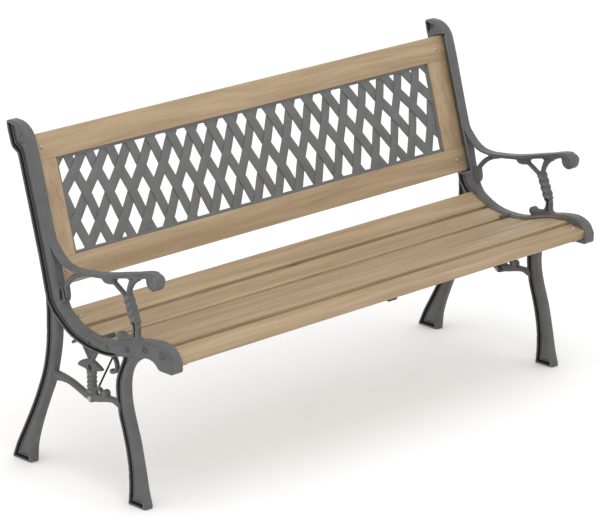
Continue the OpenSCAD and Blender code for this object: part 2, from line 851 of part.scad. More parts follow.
// --------------------------------------------------------- back fasteners
module at_back_bolts() {
    on_back() for (z = bolt_levels) both_ends(back_bolt_x)
        translate([0, 0, z]) rotate([90, 0, 0]) children();
}
module back_bolts() {
    color(zinc) at_back_bolts()
        bolt(board_t + lug_t + washer_h + nut_h + tail);
}
module back_washers() {
    color(zinc) at_back_bolts()
        translate([0, 0, -board_t - lug_t - washer_h]) washer();
}
module back_nuts() {
    color(zinc) at_back_bolts()
        translate([0, 0, -board_t - lug_t - washer_h - nut_h]) nut();
}

left_end_frame();
right_end_frame();
seat_slat_1();
seat_slat_2();
seat_slat_3();
seat_slat_4();
seat_slat_5();
seat_slat_6();
back_top_rail();
back_bottom_rail();
back_stile_left();
back_stile_right();
lattice_panel();
seat_strap();
brace_rod_left();
brace_rod_right();
seat_bolts();
seat_washers();
seat_nuts();
seat_screws();
back_bolts();
back_washers();
back_nuts();
strap_screws();
brace_bolts();
brace_nuts();
brace_screws();
back_dowels();
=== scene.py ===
# %% [markdown]
# A garden bench: two grey castings, six wooden seat slats and a wooden back
# frame that holds a woven lattice panel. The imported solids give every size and
# place; this script gives each piece its finished shape and its surface.
# Everything is in metres, X runs along the seat and the sitter faces -Y.

# %% The frame of solids that everything is built on
import math

import bmesh
import bpy
import numpy as np
from mathutils import Matrix, Vector


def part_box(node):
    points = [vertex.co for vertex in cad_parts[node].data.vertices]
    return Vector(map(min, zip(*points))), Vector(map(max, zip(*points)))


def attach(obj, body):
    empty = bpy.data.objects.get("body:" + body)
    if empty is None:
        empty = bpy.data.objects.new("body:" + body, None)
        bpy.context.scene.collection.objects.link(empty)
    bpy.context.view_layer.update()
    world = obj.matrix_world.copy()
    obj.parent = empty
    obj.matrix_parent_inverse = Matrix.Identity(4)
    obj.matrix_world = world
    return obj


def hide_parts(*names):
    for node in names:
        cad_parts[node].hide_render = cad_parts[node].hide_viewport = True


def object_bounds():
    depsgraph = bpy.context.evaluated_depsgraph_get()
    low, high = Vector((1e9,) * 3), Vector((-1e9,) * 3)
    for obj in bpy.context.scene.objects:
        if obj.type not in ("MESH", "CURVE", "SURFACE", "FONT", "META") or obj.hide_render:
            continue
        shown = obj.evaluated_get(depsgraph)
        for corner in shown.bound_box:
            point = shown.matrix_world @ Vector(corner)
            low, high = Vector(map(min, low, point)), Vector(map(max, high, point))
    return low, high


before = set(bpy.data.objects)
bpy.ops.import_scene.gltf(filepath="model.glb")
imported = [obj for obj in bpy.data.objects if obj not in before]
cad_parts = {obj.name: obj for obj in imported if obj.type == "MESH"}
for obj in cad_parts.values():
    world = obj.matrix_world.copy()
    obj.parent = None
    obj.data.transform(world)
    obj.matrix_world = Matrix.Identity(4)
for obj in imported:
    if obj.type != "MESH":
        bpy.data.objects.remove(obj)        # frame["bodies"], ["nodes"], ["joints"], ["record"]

MM = 0.001
cad_box = [list(corner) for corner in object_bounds()]
print("solid frame from", cad_box[0], "to", cad_box[1])

# %% [markdown]
# The camera stands in front and to one side, well above the seat. It is far
# away with a long lens, so the bench's edges stay nearly parallel.

# %% Camera
CAMERA_PLACE = Vector((-4.5533, -4.7219, 2.4890))
CAMERA_LOOK = Vector((0.65717, 0.68622, -0.31201))


def aim(thing, direction):
    """Turns a camera or a lamp so that it looks along a direction."""
    thing.rotation_euler = direction.to_track_quat("-Z", "Y").to_euler()


lens = bpy.data.cameras.new("camera")
lens.lens = 197.67
lens.sensor_width = 36
camera = bpy.data.objects.new("camera", lens)
camera.location = CAMERA_PLACE
aim(camera, CAMERA_LOOK)
bpy.context.scene.collection.objects.link(camera)
bpy.context.scene.camera = camera
print("camera at", tuple(round(v, 3) for v in camera.location))

# %% [markdown]
# The light is that of a white room: a bright even surround, and two large soft
# lamps, one above and one in front. They make the tops a little lighter than
# the fronts.

# %% Room, floor and lamps
scene = bpy.context.scene
scene.view_settings.view_transform = "Standard"
room = bpy.data.worlds.new("room")
scene.world = room
room.use_nodes = True
room.node_tree.nodes["Background"].inputs["Color"].default_value = (1, 1, 1, 1)
room.node_tree.nodes["Background"].inputs["Strength"].default_value = 1.06


def soft_lamp(name, place, target, size, power):
    """A square lamp that looks from a place to a target."""
    data = bpy.data.lights.new(name, "AREA")
    data.size, data.energy = size, power
    lamp = bpy.data.objects.new(name, data)
    lamp.location = place
    aim(lamp, Vector(target) - Vector(place))
    scene.collection.objects.link(lamp)
    return lamp


soft_lamp("top_lamp", (-0.6, -0.8, 3.2), (0, 0, 0.3), 2.4, 24)
soft_lamp("side_lamp", (-1.6, -3.2, 1.8), (0, 0, 0.4), 1.8, 14)

FLOOR_HALF = 12                 # half the side of the floor, m
FLOOR_DROP = 0.5 * MM           # the floor lies this far under the feet
floor_mesh = bpy.data.meshes.new("floor")
floor_mesh.from_pydata(
    [(x * FLOOR_HALF, y * FLOOR_HALF, -FLOOR_DROP)
     for x, y in ((-1, -1), (1, -1), (1, 1), (-1, 1))], [], [(0, 1, 2, 3)])
floor = bpy.data.objects.new("floor", floor_mesh)
scene.collection.objects.link(floor)
pale = bpy.data.materials.new("pale_floor")
pale.use_nodes = True
pale.node_tree.nodes["Principled BSDF"].inputs["Base Color"].default_value = (
    0.95, 0.95, 0.95, 1)
pale.node_tree.nodes["Principled BSDF"].inputs["Roughness"].default_value = 0.9
floor_mesh.materials.append(pale)
print("room, floor and", len(bpy.data.lights), "lamps")

# %% [markdown]
# Materials and shapes are built from nodes. These helpers keep that short: one
# adds a node and sets its inputs, one starts a group with named inputs and
# outputs, and the others are small sums that come back often.

# %% Helpers for node trees
def add(tree, kind, **inputs):
    """Adds a node; inputs are socket names with _ for a space, or i0, i1..."""
    node = tree.nodes.new(kind)
    for key, value in inputs.items():
        if key[0] == "i" and key[1:].isdigit():
            socket = node.inputs[int(key[1:])]
        elif key in {"operation", "mode", "axis", "data_type",
                     "attribute_name"}:
            setattr(node, key, value)
            continue
        else:
            socket = node.inputs[key.replace("_", " ")]
        if hasattr(value, "is_output"):
            tree.links.new(value, socket)
        else:
            socket.default_value = value
    return node


def group(name, kind, inputs, outputs):
    """A group with (name, type, value) inputs and (name, type) outputs."""
    tree = bpy.data.node_groups.new(name, kind)
    for label, socket, value in inputs:
        made = tree.interface.new_socket(label, in_out="INPUT",
                                         socket_type="NodeSocket" + socket)
        if value is not None:
            made.default_value = value
    for label, socket in outputs:
        tree.interface.new_socket(label, in_out="OUTPUT",
                                  socket_type="NodeSocket" + socket)
    return tree, tree.nodes.new("NodeGroupInput"), tree.nodes.new(
        "NodeGroupOutput")


def mix(tree, share, a, b):
    """Colour between a and b."""
    node = tree.nodes.new("ShaderNodeMix")
    node.data_type = "RGBA"
    for socket, value in ((0, share), (6, a), (7, b)):
        if hasattr(value, "is_output"):
            tree.links.new(value, node.inputs[socket])
        else:
            node.inputs[socket].default_value = value
    return node.outputs[2]


def remap(tree, value, low, high, to_low, to_high):
    """Stretches a value from one range to another and holds it there."""
    return add(tree, "ShaderNodeMapRange", Value=value, From_Min=low,
               From_Max=high, To_Min=to_low, To_Max=to_high).outputs[0]


def math_node(tree, operation, a, b):
    """One step of arithmetic on two numbers."""
    return add(tree, "ShaderNodeMath", operation=operation, i0=a,
               i1=b).outputs[0]


def scaled(tree, place, factors):
    """A place stretched along x, y and z, for a pattern with a direction."""
    return add(tree, "ShaderNodeVectorMath", operation="MULTIPLY", i0=place,
               i1=factors).outputs[0]


def finish_tree(tree, shape, surface, out):
    """Makes instances real, gives them their surface and ends the tree."""
    real = add(tree, "GeometryNodeRealizeInstances", Geometry=shape)
    made = add(tree, "GeometryNodeSetMaterial", Geometry=real.outputs[0],
               Material=surface)
    tree.links.new(made.outputs[0], out.inputs["Geometry"])


print("node helpers ready")

# %% [markdown]
# Wood grain. Boards sawn along a trunk show long soft streaks, fine pores and
# now and then a small knot. The pattern is noise that is stretched along the
# board, bent by a slower noise, darkened in small knots, and shifted for each
# board so that no two look alike.

# %% The grain group
def srgb(r, g, b):
    """A colour given in the usual 0..255 steps, as linear light."""
    return tuple(((c / 255 + 0.055) / 1.055) ** 2.4 if c > 10 else c / 3294.6
                 for c in (r, g, b)) + (1.0,)


grain, g_in, g_out = group("wood grain", "ShaderNodeTree", [
    ("Place", "Vector", None), ("Light", "Color", (1, 1, 1, 1)),
    ("Dark", "Color", (0, 0, 0, 1))], [
    ("Color", "Color"), ("Height", "Float"), ("Gloss Mask", "Float")])
g = g_in.outputs
warp = add(grain, "ShaderNodeTexNoise",
           Vector=scaled(grain, g["Place"], (1.6, 6, 6)), Scale=1.0,
           Detail=2.0)
bent = add(grain, "ShaderNodeVectorMath", operation="ADD", i0=g["Place"],
           i1=scaled(grain, warp.outputs["Color"], (0, 0.05, 0.05)))
rings = add(grain, "ShaderNodeTexNoise",
            Vector=scaled(grain, bent.outputs[0], (2.2, 48, 48)), Scale=1.0,
            Detail=3.0, Roughness=0.55)
streaks = add(grain, "ShaderNodeTexNoise",
              Vector=scaled(grain, bent.outputs[0], (5, 210, 210)),
              Scale=1.0, Detail=4.0, Roughness=0.6)
pores = add(grain, "ShaderNodeTexNoise",
            Vector=scaled(grain, g["Place"], (60, 1500, 1500)), Scale=1.0,
            Detail=2.0)
cells = add(grain, "ShaderNodeTexVoronoi",
            Vector=scaled(grain, g["Place"], (2.2, 5.5, 5.5)), Scale=1.0)
knot = remap(grain, cells.outputs["Distance"], 0.012, 0.034, 1.0, 0.0)
broad = remap(grain, rings.outputs[0], 0.34, 0.66, 0.0, 1.0)
fine = remap(grain, streaks.outputs[0], 0.36, 0.68, 0.0, 1.0)
share = math_node(grain, "ADD", math_node(grain, "MULTIPLY", broad, 0.62),
                  math_node(grain, "MULTIPLY", fine, 0.38))
toned = mix(grain, share, g["Light"], g["Dark"])
pored = mix(grain, remap(grain, pores.outputs[0], 0.60, 0.74, 0.0, 0.35),
            toned, g["Dark"])
knotted = mix(grain, math_node(grain, "MULTIPLY", knot, 0.75), pored,
              srgb(96, 66, 40))
grain.links.new(knotted, g_out.inputs["Color"])
grain.links.new(math_node(grain, "ADD", fine, math_node(
    grain, "MULTIPLY", pores.outputs[0], 0.8)), g_out.inputs["Height"])
grain.links.new(share, g_out.inputs["Gloss Mask"])


def principled(name):
    """A new material, its tree and its shader."""
    material = bpy.data.materials.new(name)
    material.use_nodes = True
    tree = material.node_tree
    return material, tree, tree.nodes["Principled BSDF"]


def wood(name, shift, upright, light, dark):
    """Wood of one board: its grain runs along X, or up for a stile."""
    material, tree, shader = principled(name)
    place = add(tree, "ShaderNodeTexCoord").outputs["Object"]
    turned = add(tree, "ShaderNodeMapping", Vector=place, Location=shift,
                 Rotation=(0, math.pi / 2 if upright else 0, 0))
    made = add(tree, "ShaderNodeGroup")
    made.node_tree = grain
    tree.links.new(turned.outputs[0], made.inputs["Place"])
    made.inputs["Light"].default_value = light
    made.inputs["Dark"].default_value = dark
    tree.links.new(made.outputs["Color"], shader.inputs["Base Color"])
    tree.links.new(remap(tree, made.outputs["Gloss Mask"], 0, 1, 0.46, 0.6),
                   shader.inputs["Roughness"])
    bump = add(tree, "ShaderNodeBump", Strength=0.35, Distance=0.0004,
               Height=made.outputs["Height"])
    tree.links.new(bump.outputs[0], shader.inputs["Normal"])
    return material


print("grain group with", len(grain.nodes), "nodes")

# %% [markdown]
# The boards. Each slat, rail and stile is a planed length of wood with its
# long edges eased. A node tree draws the rounded rectangle of its end and
# pushes it along a line, which is how the machine that planed it works too.
# Sizes come from the solids: a slat's tilt is read from its corners.

# %% Node tree for one planed board
board_tree, b_in, b_out = group("planed board", "GeometryNodeTree", [
    ("Length", "Float", 1.0), ("Width", "Float", 0.05),
    ("Thickness", "Float", 0.015), ("Edge Radius", "Float", 0.0015),
    ("Surface", "Material", None)], [("Geometry", "Geometry")])
b = b_in.outputs
outline = add(board_tree, "GeometryNodeCurvePrimitiveQuadrilateral",
              Width=b["Width"], Height=b["Thickness"])
eased = add(board_tree, "GeometryNodeFilletCurve", mode="POLY",
            Curve=outline.outputs[0], Count=4, Radius=b["Edge Radius"])
ends = [add(board_tree, "ShaderNodeCombineXYZ", X=math_node(
    board_tree, "MULTIPLY", b["Length"], share)).outputs[0]
    for share in (-0.5, 0.5)]
line = add(board_tree, "GeometryNodeCurvePrimitiveLine", Start=ends[0],
           End=ends[1])
swept = add(board_tree, "GeometryNodeCurveToMesh", Curve=line.outputs[0],
            Profile_Curve=eased.outputs[0], Fill_Caps=True)
finish_tree(board_tree, swept.outputs[0], b["Surface"], b_out)


def grown(name, tree, values, start=None):
    """Runs a node tree on an object and returns its result as a plain mesh."""
    source = bpy.data.objects.new(
        name + "_source", start or bpy.data.meshes.new(name + "_start"))
    scene.collection.objects.link(source)
    modifier = source.modifiers.new("grow", "NODES")
    modifier.node_group = tree
    for item in tree.interface.items_tree:
        if item.in_out == "INPUT" and item.name in values:
            modifier[item.identifier] = values[item.name]
    depsgraph = bpy.context.evaluated_depsgraph_get()
    mesh = bpy.data.meshes.new_from_object(source.evaluated_get(depsgraph),
                                           depsgraph=depsgraph)
    bpy.data.objects.remove(source)
    mesh.name = name
    return mesh


def shown(name, mesh, nodes, sharp=35):
    """Puts a finished mesh in the scene, in place of its solids if any."""
    piece = bpy.data.objects.new(name, mesh)
    scene.collection.objects.link(piece)
    mesh.shade_smooth()
    mesh.set_sharp_from_angle(angle=math.radians(sharp))
    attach(piece, "root")
    if nodes:
        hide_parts(*nodes)


def corners_of(node):
    """All corner points of a solid, in metres."""
    return np.array([v.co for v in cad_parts[node].data.vertices])


print("board tree with", len(board_tree.nodes), "nodes")

# %% [markdown]
# A slat's box in the frame isn't its own size, because the slats follow the
# curve of the seat. Its tilt is the direction of the longest straight side of
# its end, and its sizes are measured along and across that.

# %% Seat slats
def end_shape(node):
    """Middle, tilt, width and thickness of a board, seen along X."""
    points = np.unique(np.round(corners_of(node)[:, 1:], 5), axis=0)
    low, high = points[points[:, 0].argmin()], points[points[:, 0].argmax()]
    best = None
    for degrees in np.arange(-25, 95, 0.05):
        a = math.radians(degrees)
        along = points @ np.array((math.cos(a), math.sin(a)))
        across = points @ np.array((-math.sin(a), math.cos(a)))
        area = np.ptp(along) * np.ptp(across)
        if best is None or area < best[0]:
            best = (area, a, along.min(), along.max(), across.min(),
                    across.max())
    _, a, u0, u1, v0, v1 = best
    u, v = (u0 + u1) / 2, (v0 + v1) / 2
    middle = (u * math.cos(a) - v * math.sin(a),
              u * math.sin(a) + v * math.cos(a))
    return middle, a, u1 - u0, v1 - v0


def board_shape(node):
    """As end_shape, turned so that the width is the larger size."""
    middle, tilt, width, thick = end_shape(node)
    if thick > width:
        tilt, width, thick = tilt + math.pi / 2, thick, width
    return middle, tilt, width, thick


TAN = srgb(172, 150, 119)
BROWN = srgb(140, 116, 87)
SLAT_EDGE = 1.6 * MM            # radius of a slat's planed edges
BACK_EDGE = 1.2 * MM            # radius of the back boards' edges
for k in range(6):
    node = f"seat_slat_{k + 1}"
    middle, tilt, width, thick = end_shape(node)
    low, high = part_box(node)
    surface = wood(f"slat_wood_{k + 1}", (0.37 * k + 0.2, 0.21 * k, 0.11 * k),
                   False, TAN, BROWN)
    mesh = grown(node + "_wood", board_tree, {
        "Length": high.x - low.x, "Width": width, "Thickness": thick,
        "Edge Radius": SLAT_EDGE, "Surface": surface})
    turn = Matrix.Rotation(tilt, 4, "X")
    mesh.transform(Matrix.Translation((0, *middle)) @ turn)
    shown(node + "_wood", mesh, [node])
    print(node, "tilt", round(math.degrees(tilt), 1), "deg,",
          round(width / MM, 1), "x", round(thick / MM, 1), "mm")

# %% [markdown]
# The back frame is four boards: two rails that run the whole length and two
# stiles between them. They lie in one leaning plane, and each board's own tilt
# is read from its solid, as for the slats.

# %% Rails and stiles
for k, node in enumerate(("back_bottom_rail", "back_top_rail",
                          "back_stile_left", "back_stile_right")):
    middle, tilt, width, thick = board_shape(node)
    low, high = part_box(node)
    upright = "stile" in node
    surface = wood(node + "_grain", (0.9 + 0.43 * k, 0.3 * k, 0.17 * k),
                   upright, TAN, BROWN)
    long, wide = high.x - low.x, width
    if upright:
        long, wide = width, high.x - low.x
    mesh = grown(node + "_wood", board_tree, {
        "Length": long, "Width": wide, "Thickness": thick,
        "Edge Radius": BACK_EDGE, "Surface": surface})
    if upright:
        mesh.transform(Matrix.Rotation(math.pi / 2, 4, "Z"))
    mesh.transform(Matrix.Translation(((low.x + high.x) / 2, *middle))
                   @ Matrix.Rotation(tilt, 4, "X"))
    shown(node + "_wood", mesh, [node])
    print(node, "tilt", round(math.degrees(tilt), 1), "deg,",
          round(wide / MM, 1), "x", round(thick / MM, 1), "mm")

# %% [markdown]
# The end frames are castings: each is a flat figure with relief on both faces.
# Stacking beveled solids would leave hard creases where they meet, and a real
# casting has none. So the figure is worked out the way a pattern maker thinks
# of it: a fine net over the side elevation, and at every point of the net how
# far the metal reaches from the middle plane. Outlines, rolls and grooves are
# all distances to lines, so they blend into each other with soft fillets.

# %% The net and the distances on it
NET = 1.25                      # spacing of the net, mm
FOOT_MIDDLE = 44                # elevation points count from 44 mm behind
net_y = np.arange(-299, 213, NET)
net_z = np.arange(-4, 724, NET)
Y, Z = np.meshgrid(net_y, net_z, indexing="ij")
FAR = 40.0                      # distances are measured this far, mm


def smooth(points, steps):
    """A soft curve through a row of points."""
    p = np.array(points, float)
    p = np.vstack([p[:1], p, p[-1:]])
    t = np.arange(steps)[:, None] / steps
    rows = [0.5 * (2 * b + (c - a) * t + (2 * a - 5 * b + 4 * c - d) * t ** 2
                   + (3 * b - a - 3 * c + d) * t ** 3)
            for a, b, c, d in zip(p[:-3], p[1:-2], p[2:-1], p[3:])]
    return np.vstack(rows + [p[-1:]])


def window(line, reach):
    """The part of the net that lies within reach of a line."""
    low, high = line.min(0) - reach, line.max(0) + reach
    i0, i1 = np.searchsorted(net_y, (low[0], high[0]))
    j0, j1 = np.searchsorted(net_z, (low[1], high[1]))
    return slice(i0, i1), slice(j0, j1)


def nearest(line, reach=FAR):
    """Distance to a line, and the number of the nearest place on it."""
    line = np.asarray(line, float)
    part = window(line, reach)
    y, z = Y[part], Z[part]
    best, place = np.full(y.shape, reach ** 2), np.zeros(y.shape)
    for i, (a, b) in enumerate(zip(line[:-1], line[1:])):
        d = b - a
        t = np.clip(((y - a[0]) * d[0] + (z - a[1]) * d[1]) / (d @ d), 0, 1)
        gap = (y - a[0] - t * d[0]) ** 2 + (z - a[1] - t * d[1]) ** 2
        near = gap < best
        best[near], place[near] = gap[near], (i + t)[near]
    far, along = np.full(Y.shape, reach), np.zeros(Y.shape)
    far[part], along[part] = np.sqrt(best), place
    return far, along


def depth_in(outline, reach=FAR):
    """Distance inside a closed outline, and below zero outside it."""
    line = np.vstack([outline, outline[:1]])
    part = window(line, reach)
    y, z = Y[part], Z[part]
    inside = np.zeros(y.shape, bool)
    for a, b in zip(line[:-1], line[1:]):
        if a[1] != b[1]:
            cross = (a[1] > z) != (b[1] > z)
            inside ^= cross & (y < (b[0] - a[0]) * (z - a[1])
                               / (b[1] - a[1]) + a[0])
    far = nearest(line, reach)[0]
    sign = np.full(Y.shape, -1.0)
    sign[part][inside] = 1.0
    return far * sign


def ease(d, radius):
    """How far a rounded edge drops at a distance d inside it."""
    d = np.clip(d, 0, radius)
    return radius - np.sqrt(radius ** 2 - (radius - d) ** 2)


def soft_max(a, b, k):
    """The larger of two heights, with a fillet of size k where they meet."""
    h = np.clip(0.5 + 0.5 * (b - a) / k, 0, 1)
    return a * (1 - h) + b * h + k * h * (1 - h)


def step_up(value, low, high):
    """Rises smoothly from 0 at low to 1 at high."""
    t = np.clip((value - low) / (high - low), 0, 1)
    return t * t * (3 - 2 * t)


print("net of", Y.shape[0], "by", Y.shape[1], "points")

# %% [markdown]
# The outlines of the side elevation, as (y, z) in millimetres from the middle
# of the feet on the ground. Each row holds only the points that bend the line.

# %% Outlines of the casting
head_rear = [(193, 720), (197, 716), (193, 698), (184.5, 672), (180, 665.5),
             (164.5, 657), (161.5, 648)]
upright_rear = [(161.5, 648), (147.5, 600), (133, 550), (119, 500), (105, 450),
                (93, 400), (88.5, 382), (83.5, 366), (70, 348.5), (50, 332.5),
                (30, 319), (10, 309), (-10, 302.5), (-30, 298.5), (-50, 296),
                (-70, 295.5), (-90, 296.3), (-110, 299), (-130, 303.5),
                (-150, 309), (-170, 314), (-190, 319), (-210, 322),
                (-226, 322), (-237, 319.5), (-245, 314), (-252, 308),
                (-257, 306.5)]
curl_cut = [(-291, 306.5), (-295, 310.5)]
rail_top = [(-295, 334), (-291.5, 342), (-285.5, 349), (-277.5, 354),
            (-267.5, 358), (-257.5, 360), (-247.5, 360.3), (-237.5, 359.8),
            (-217, 357.2), (-197, 353.2), (-175, 347), (-160, 342.5),
            (-145, 338), (-130, 333.5), (-112, 329), (-97, 326.2),
            (-77, 324.7), (-57, 324.7), (-37, 326.2), (-16, 331.2),
            (4, 339.2), (14, 344.7), (24, 350.5), (34, 361.2), (42, 376)]
bend_front = [(44, 385), (47.5, 396), (51, 406), (54.5, 418), (57.5, 431),
              (60.5, 446), (64.5, 462), (70, 477), (75, 494)]
upright_front = [(88.6, 540.2), (102.7, 590.5), (116.5, 640.7), (130.5, 686)]
head_front = [(134, 694), (138, 700.5), (143, 706), (149, 711), (156, 715),
              (164, 718), (173, 719.6), (183, 720), (193, 720)]
arm_top = [(76, 495), (66, 482.5), (54, 470), (44, 461.8), (34, 456.3),
           (24, 452.8), (4, 450.6), (-16, 451.8), (-36, 454.3), (-56, 456.8),
           (-76, 460.3), (-97, 465), (-117, 470), (-137, 475.4),
           (-157, 480.4), (-177, 485.4), (-197, 491.4), (-217, 496.4),
           (-232.5, 497.5)]
arm_under = [(-230, 486), (-213, 484.5), (-204, 480.5), (-180, 477),
             (-160, 472), (-140, 467), (-120, 461.5), (-100, 456.5),
             (-80, 453), (-60, 450), (-40, 447.5), (-20, 445.5), (0, 445.5),
             (20, 447.5), (30, 450), (42, 455), (50, 461), (60, 470),
             (80, 500)]
front_leg_front = [(-206, 0), (-205.6, 8), (-202, 20), (-197, 38), (-192, 63),
                   (-186.8, 88), (-181.2, 113), (-174.8, 138), (-166.5, 163),
                   (-158.5, 188), (-152.4, 213.4), (-150.7, 238), (-153, 262),
                   (-162, 285.6), (-176, 302), (-196, 314), (-212, 325)]
front_leg_rear = [(-155.3, 0), (-156.5, 14), (-158, 32), (-158.2, 50),
                  (-157, 75), (-153.3, 100), (-147.7, 125), (-140.5, 150),
                  (-132.4, 175), (-126.5, 200), (-123.5, 225), (-124, 250),
                  (-130, 271), (-139, 289), (-146, 305), (-148, 325)]
rear_leg_front = [(148, 0), (147.3, 8), (145.7, 24), (143.7, 38), (136.7, 63),
                  (127.4, 88), (117, 113), (107.3, 135), (96, 160), (84, 185),
                  (75.5, 210), (68.6, 236), (62.8, 261), (58.8, 286),
                  (57, 310), (58, 345)]
rear_leg_rear = [(207, 0), (204, 8), (193.3, 32), (183.8, 50), (169.5, 75),
                 (155.8, 100), (142.3, 125), (129.7, 150), (118.5, 175),
                 (108, 200), (99.6, 225), (93.7, 250), (89.6, 275),
                 (87.5, 300), (86.8, 325), (86.5, 350), (87.5, 380)]
post_front = [(-196, 482), (-186, 471), (-176, 465), (-168, 457), (-162, 447),
              (-159.5, 438), (-160, 428), (-164, 414), (-172, 400),
              (-178, 390), (-182, 379), (-183.5, 371), (-184, 358),
              (-192, 345)]
post_rear = [(-160, 480), (-161, 470.6), (-157, 460.6), (-153, 449.6),
             (-151, 440), (-151, 428), (-154, 414), (-160, 400), (-164, 390),
             (-167, 378), (-167.5, 368), (-163, 357), (-152, 352),
             (-140, 350), (-133, 335)]
stretcher_under = [(-134, 186), (-122, 191), (-104, 197), (-84, 194),
                   (-64, 188.5), (-52, 186), (-44, 183), (-37, 182),
                   (-29, 183.5), (-14, 188), (6, 194.5), (26, 200.5),
                   (46, 202.5), (66, 200), (92, 196)]
stretcher_top = [(-134, 207), (-102, 207.5), (-77, 206), (-56, 202),
                 (-37, 200), (-18, 200.5), (3, 206.5), (23, 212.5),
                 (43, 216), (63, 218), (84, 219)]
print("body outline of", len(head_rear + upright_rear + rail_top), "points")

# %% [markdown]
# Each part of the figure is laid on the net in turn. Where two parts meet, the
# larger height wins with a small fillet. Outside its outline a part falls away
# steeply, which gives the draft that lets a casting leave its mould.

# %% Laying parts on the net
HALF = 13.0                     # half the thickness of the body
figure = np.full(Y.shape, -FAR)  # distance inside the whole outline
outer = np.full(Y.shape, -FAR)   # reach of the metal to the outer side
inner = np.full(Y.shape, -FAR)   # reach to the inner side
painted_shade = np.zeros(Y.shape)         # how dark the painted shade in the grooves is


def lay(inside, height, height_in=None, fillet=3.0, painted_shade_share=0.0):
    """Adds a part: its distance inside, reach to both sides and painted shade."""
    global figure, outer, inner, painted_shade
    fall = np.minimum(inside, 0) * 2.2
    # painted shade: the part that reaches furthest out sets how dark its face is painted
    painted_shade = np.where(height + fall > outer - 0.3, painted_shade_share, painted_shade)
    figure = soft_max(figure, inside, fillet)
    outer = soft_max(outer, height + fall, 1.5)
    inner = soft_max(inner, (height if height_in is None else height_in)
                     + fall, 1.5)


def plate(outline, thick, radius):
    """A flat part with rounded edges."""
    inside = depth_in(np.asarray(outline, float))
    lay(inside, thick / 2 - ease(inside, radius))


def bar(line, wide, thick):
    """A bar that follows a soft line."""
    inside = wide / 2 - nearest(smooth(line, 4))[0]
    lay(inside, thick / 2 - ease(inside, min(wide, thick) / 2))


def disc(middle, radius, thick, edge, hole=0):
    """A round part, with a hole if it is a ring."""
    r = np.hypot(Y - middle[0], Z - middle[1])
    inside = np.minimum(radius - r, r - hole) if hole else radius - r
    lay(inside, thick / 2 - ease(inside, edge))


# The body: upright, bend, seat rail and curl.
FINE = 6                        # steps between two points of a soft line
rear_fine = smooth(upright_rear, FINE)
front_line = np.vstack([smooth(rail_top, FINE),
                        smooth(bend_front + upright_front + head_front,
                               4)[1:]])
body = depth_in(np.vstack([head_rear[:-1], rear_fine, curl_cut, front_line]))
from_front = nearest(front_line)[0]
from_rear, rear_place = nearest(np.vstack([head_rear[1:-1], rear_fine]))
lay(body, HALF - np.maximum(ease(from_front, 5.5), ease(from_rear, 1.2)))


def leg(front, rear, toe):
    """A leg, a little thinner than the body, with its long grooves."""
    front, rear = smooth(front, 7), smooth(rear, 7)
    inside = depth_in(np.vstack([front, rear[::-1]]))
    d_front, d_rear = nearest(front)[0], nearest(rear)[0]
    over_foot = np.where(Y > toe, Z + 0.4, FAR)
    d = np.minimum(d_rear, over_foot)
    level = HALF - 0.8 - np.maximum(ease(d_front, 8), ease(d_rear, 1.0))
    wide = step_up(d, 2.2, 3.6) * step_up(-d, -11, -9)
    fine = step_up(d, 12, 13.2) * step_up(-d, -16.4, -14.6)
    keep = step_up(d_front, 7, 9)
    level = level - keep * (6 * wide + 2.4 * fine)
    # painted shade in the two grooves and along the rear rim of the leg
    rim = step_up(-d_rear, -2.6, -1.6)
    lay(inside, level, painted_shade_share=np.maximum(keep * (wide + 0.6 * fine),
                                       0.55 * rim))


leg(front_leg_front, front_leg_rear, -197)
leg(rear_leg_front, rear_leg_rear, 157)

# The arm and the scroll at its end.
arm_a, arm_b = smooth(arm_top, 5), smooth(arm_under, 5)
arm = depth_in(np.vstack([arm_a, arm_b]))
from_arm_top = nearest(arm_a)[0]
lay(arm, HALF - np.maximum(ease(from_arm_top, 4),
                           ease(nearest(arm_b)[0], 3)))
disc((-232.5, 480), 17.5, 22, 3.5)
disc((-238, 482.5), 12, 28, 5)

# The twisted post between the arm and the rail.
plate(np.vstack([smooth(post_front, 5), smooth(post_rear, 5)[::-1]]), 15, 5)
disc((-131, 345), 9.5, 18, 4.5)
bar([(-155, 426), (-128, 441), (-104, 455)], 8, 12)
plate([(-118, 462), (-110, 447), (-101, 444.5), (-88, 444.5), (-83, 449),
       (-84, 458)], 19, 4)


def roll(low, high, radius, groove, turns, slant, spare):
    """A round bar with turns cut around it, as a rope or turned beads."""
    low, high = np.array(low, float), np.array(high, float)
    axis = (high - low) / np.linalg.norm(high - low)
    length = np.linalg.norm(high - low)
    u = (Y - low[0]) * axis[0] + (Z - low[1]) * axis[1]
    v = (Y - low[0]) * axis[1] - (Z - low[1]) * axis[0]
    ends = np.minimum(u + spare, length + spare - u)
    pair = []
    for side in (1, -1):
        wave = np.abs(np.cos(math.pi * (u + side * slant * v) * turns
                             / length))
        r = radius - groove * (1 - wave)
        pair.append((np.minimum(r - np.abs(v), ends),
                     np.sqrt(np.clip(r ** 2 - v ** 2, 0, None))))
    near = np.minimum(pair[0][0], pair[1][0])
    lay(near, np.where(near > -6, pair[0][1], -FAR),
        np.where(near > -6, pair[1][1], -FAR), 1.5)


roll((-171, 387), (-154.5, 427), 12, 2.6, 3, 0.6, 6.5)

# The branch from the arm root and its bud.
bar([(-24, 446), (-4, 440), (14, 430), (28, 417), (37, 404), (39, 386)], 10,
    11)
plate([(31, 407), (44, 408), (50, 398), (48, 380), (40, 373), (31, 376),
       (28, 386), (29.5, 397)], 14, 2.5)

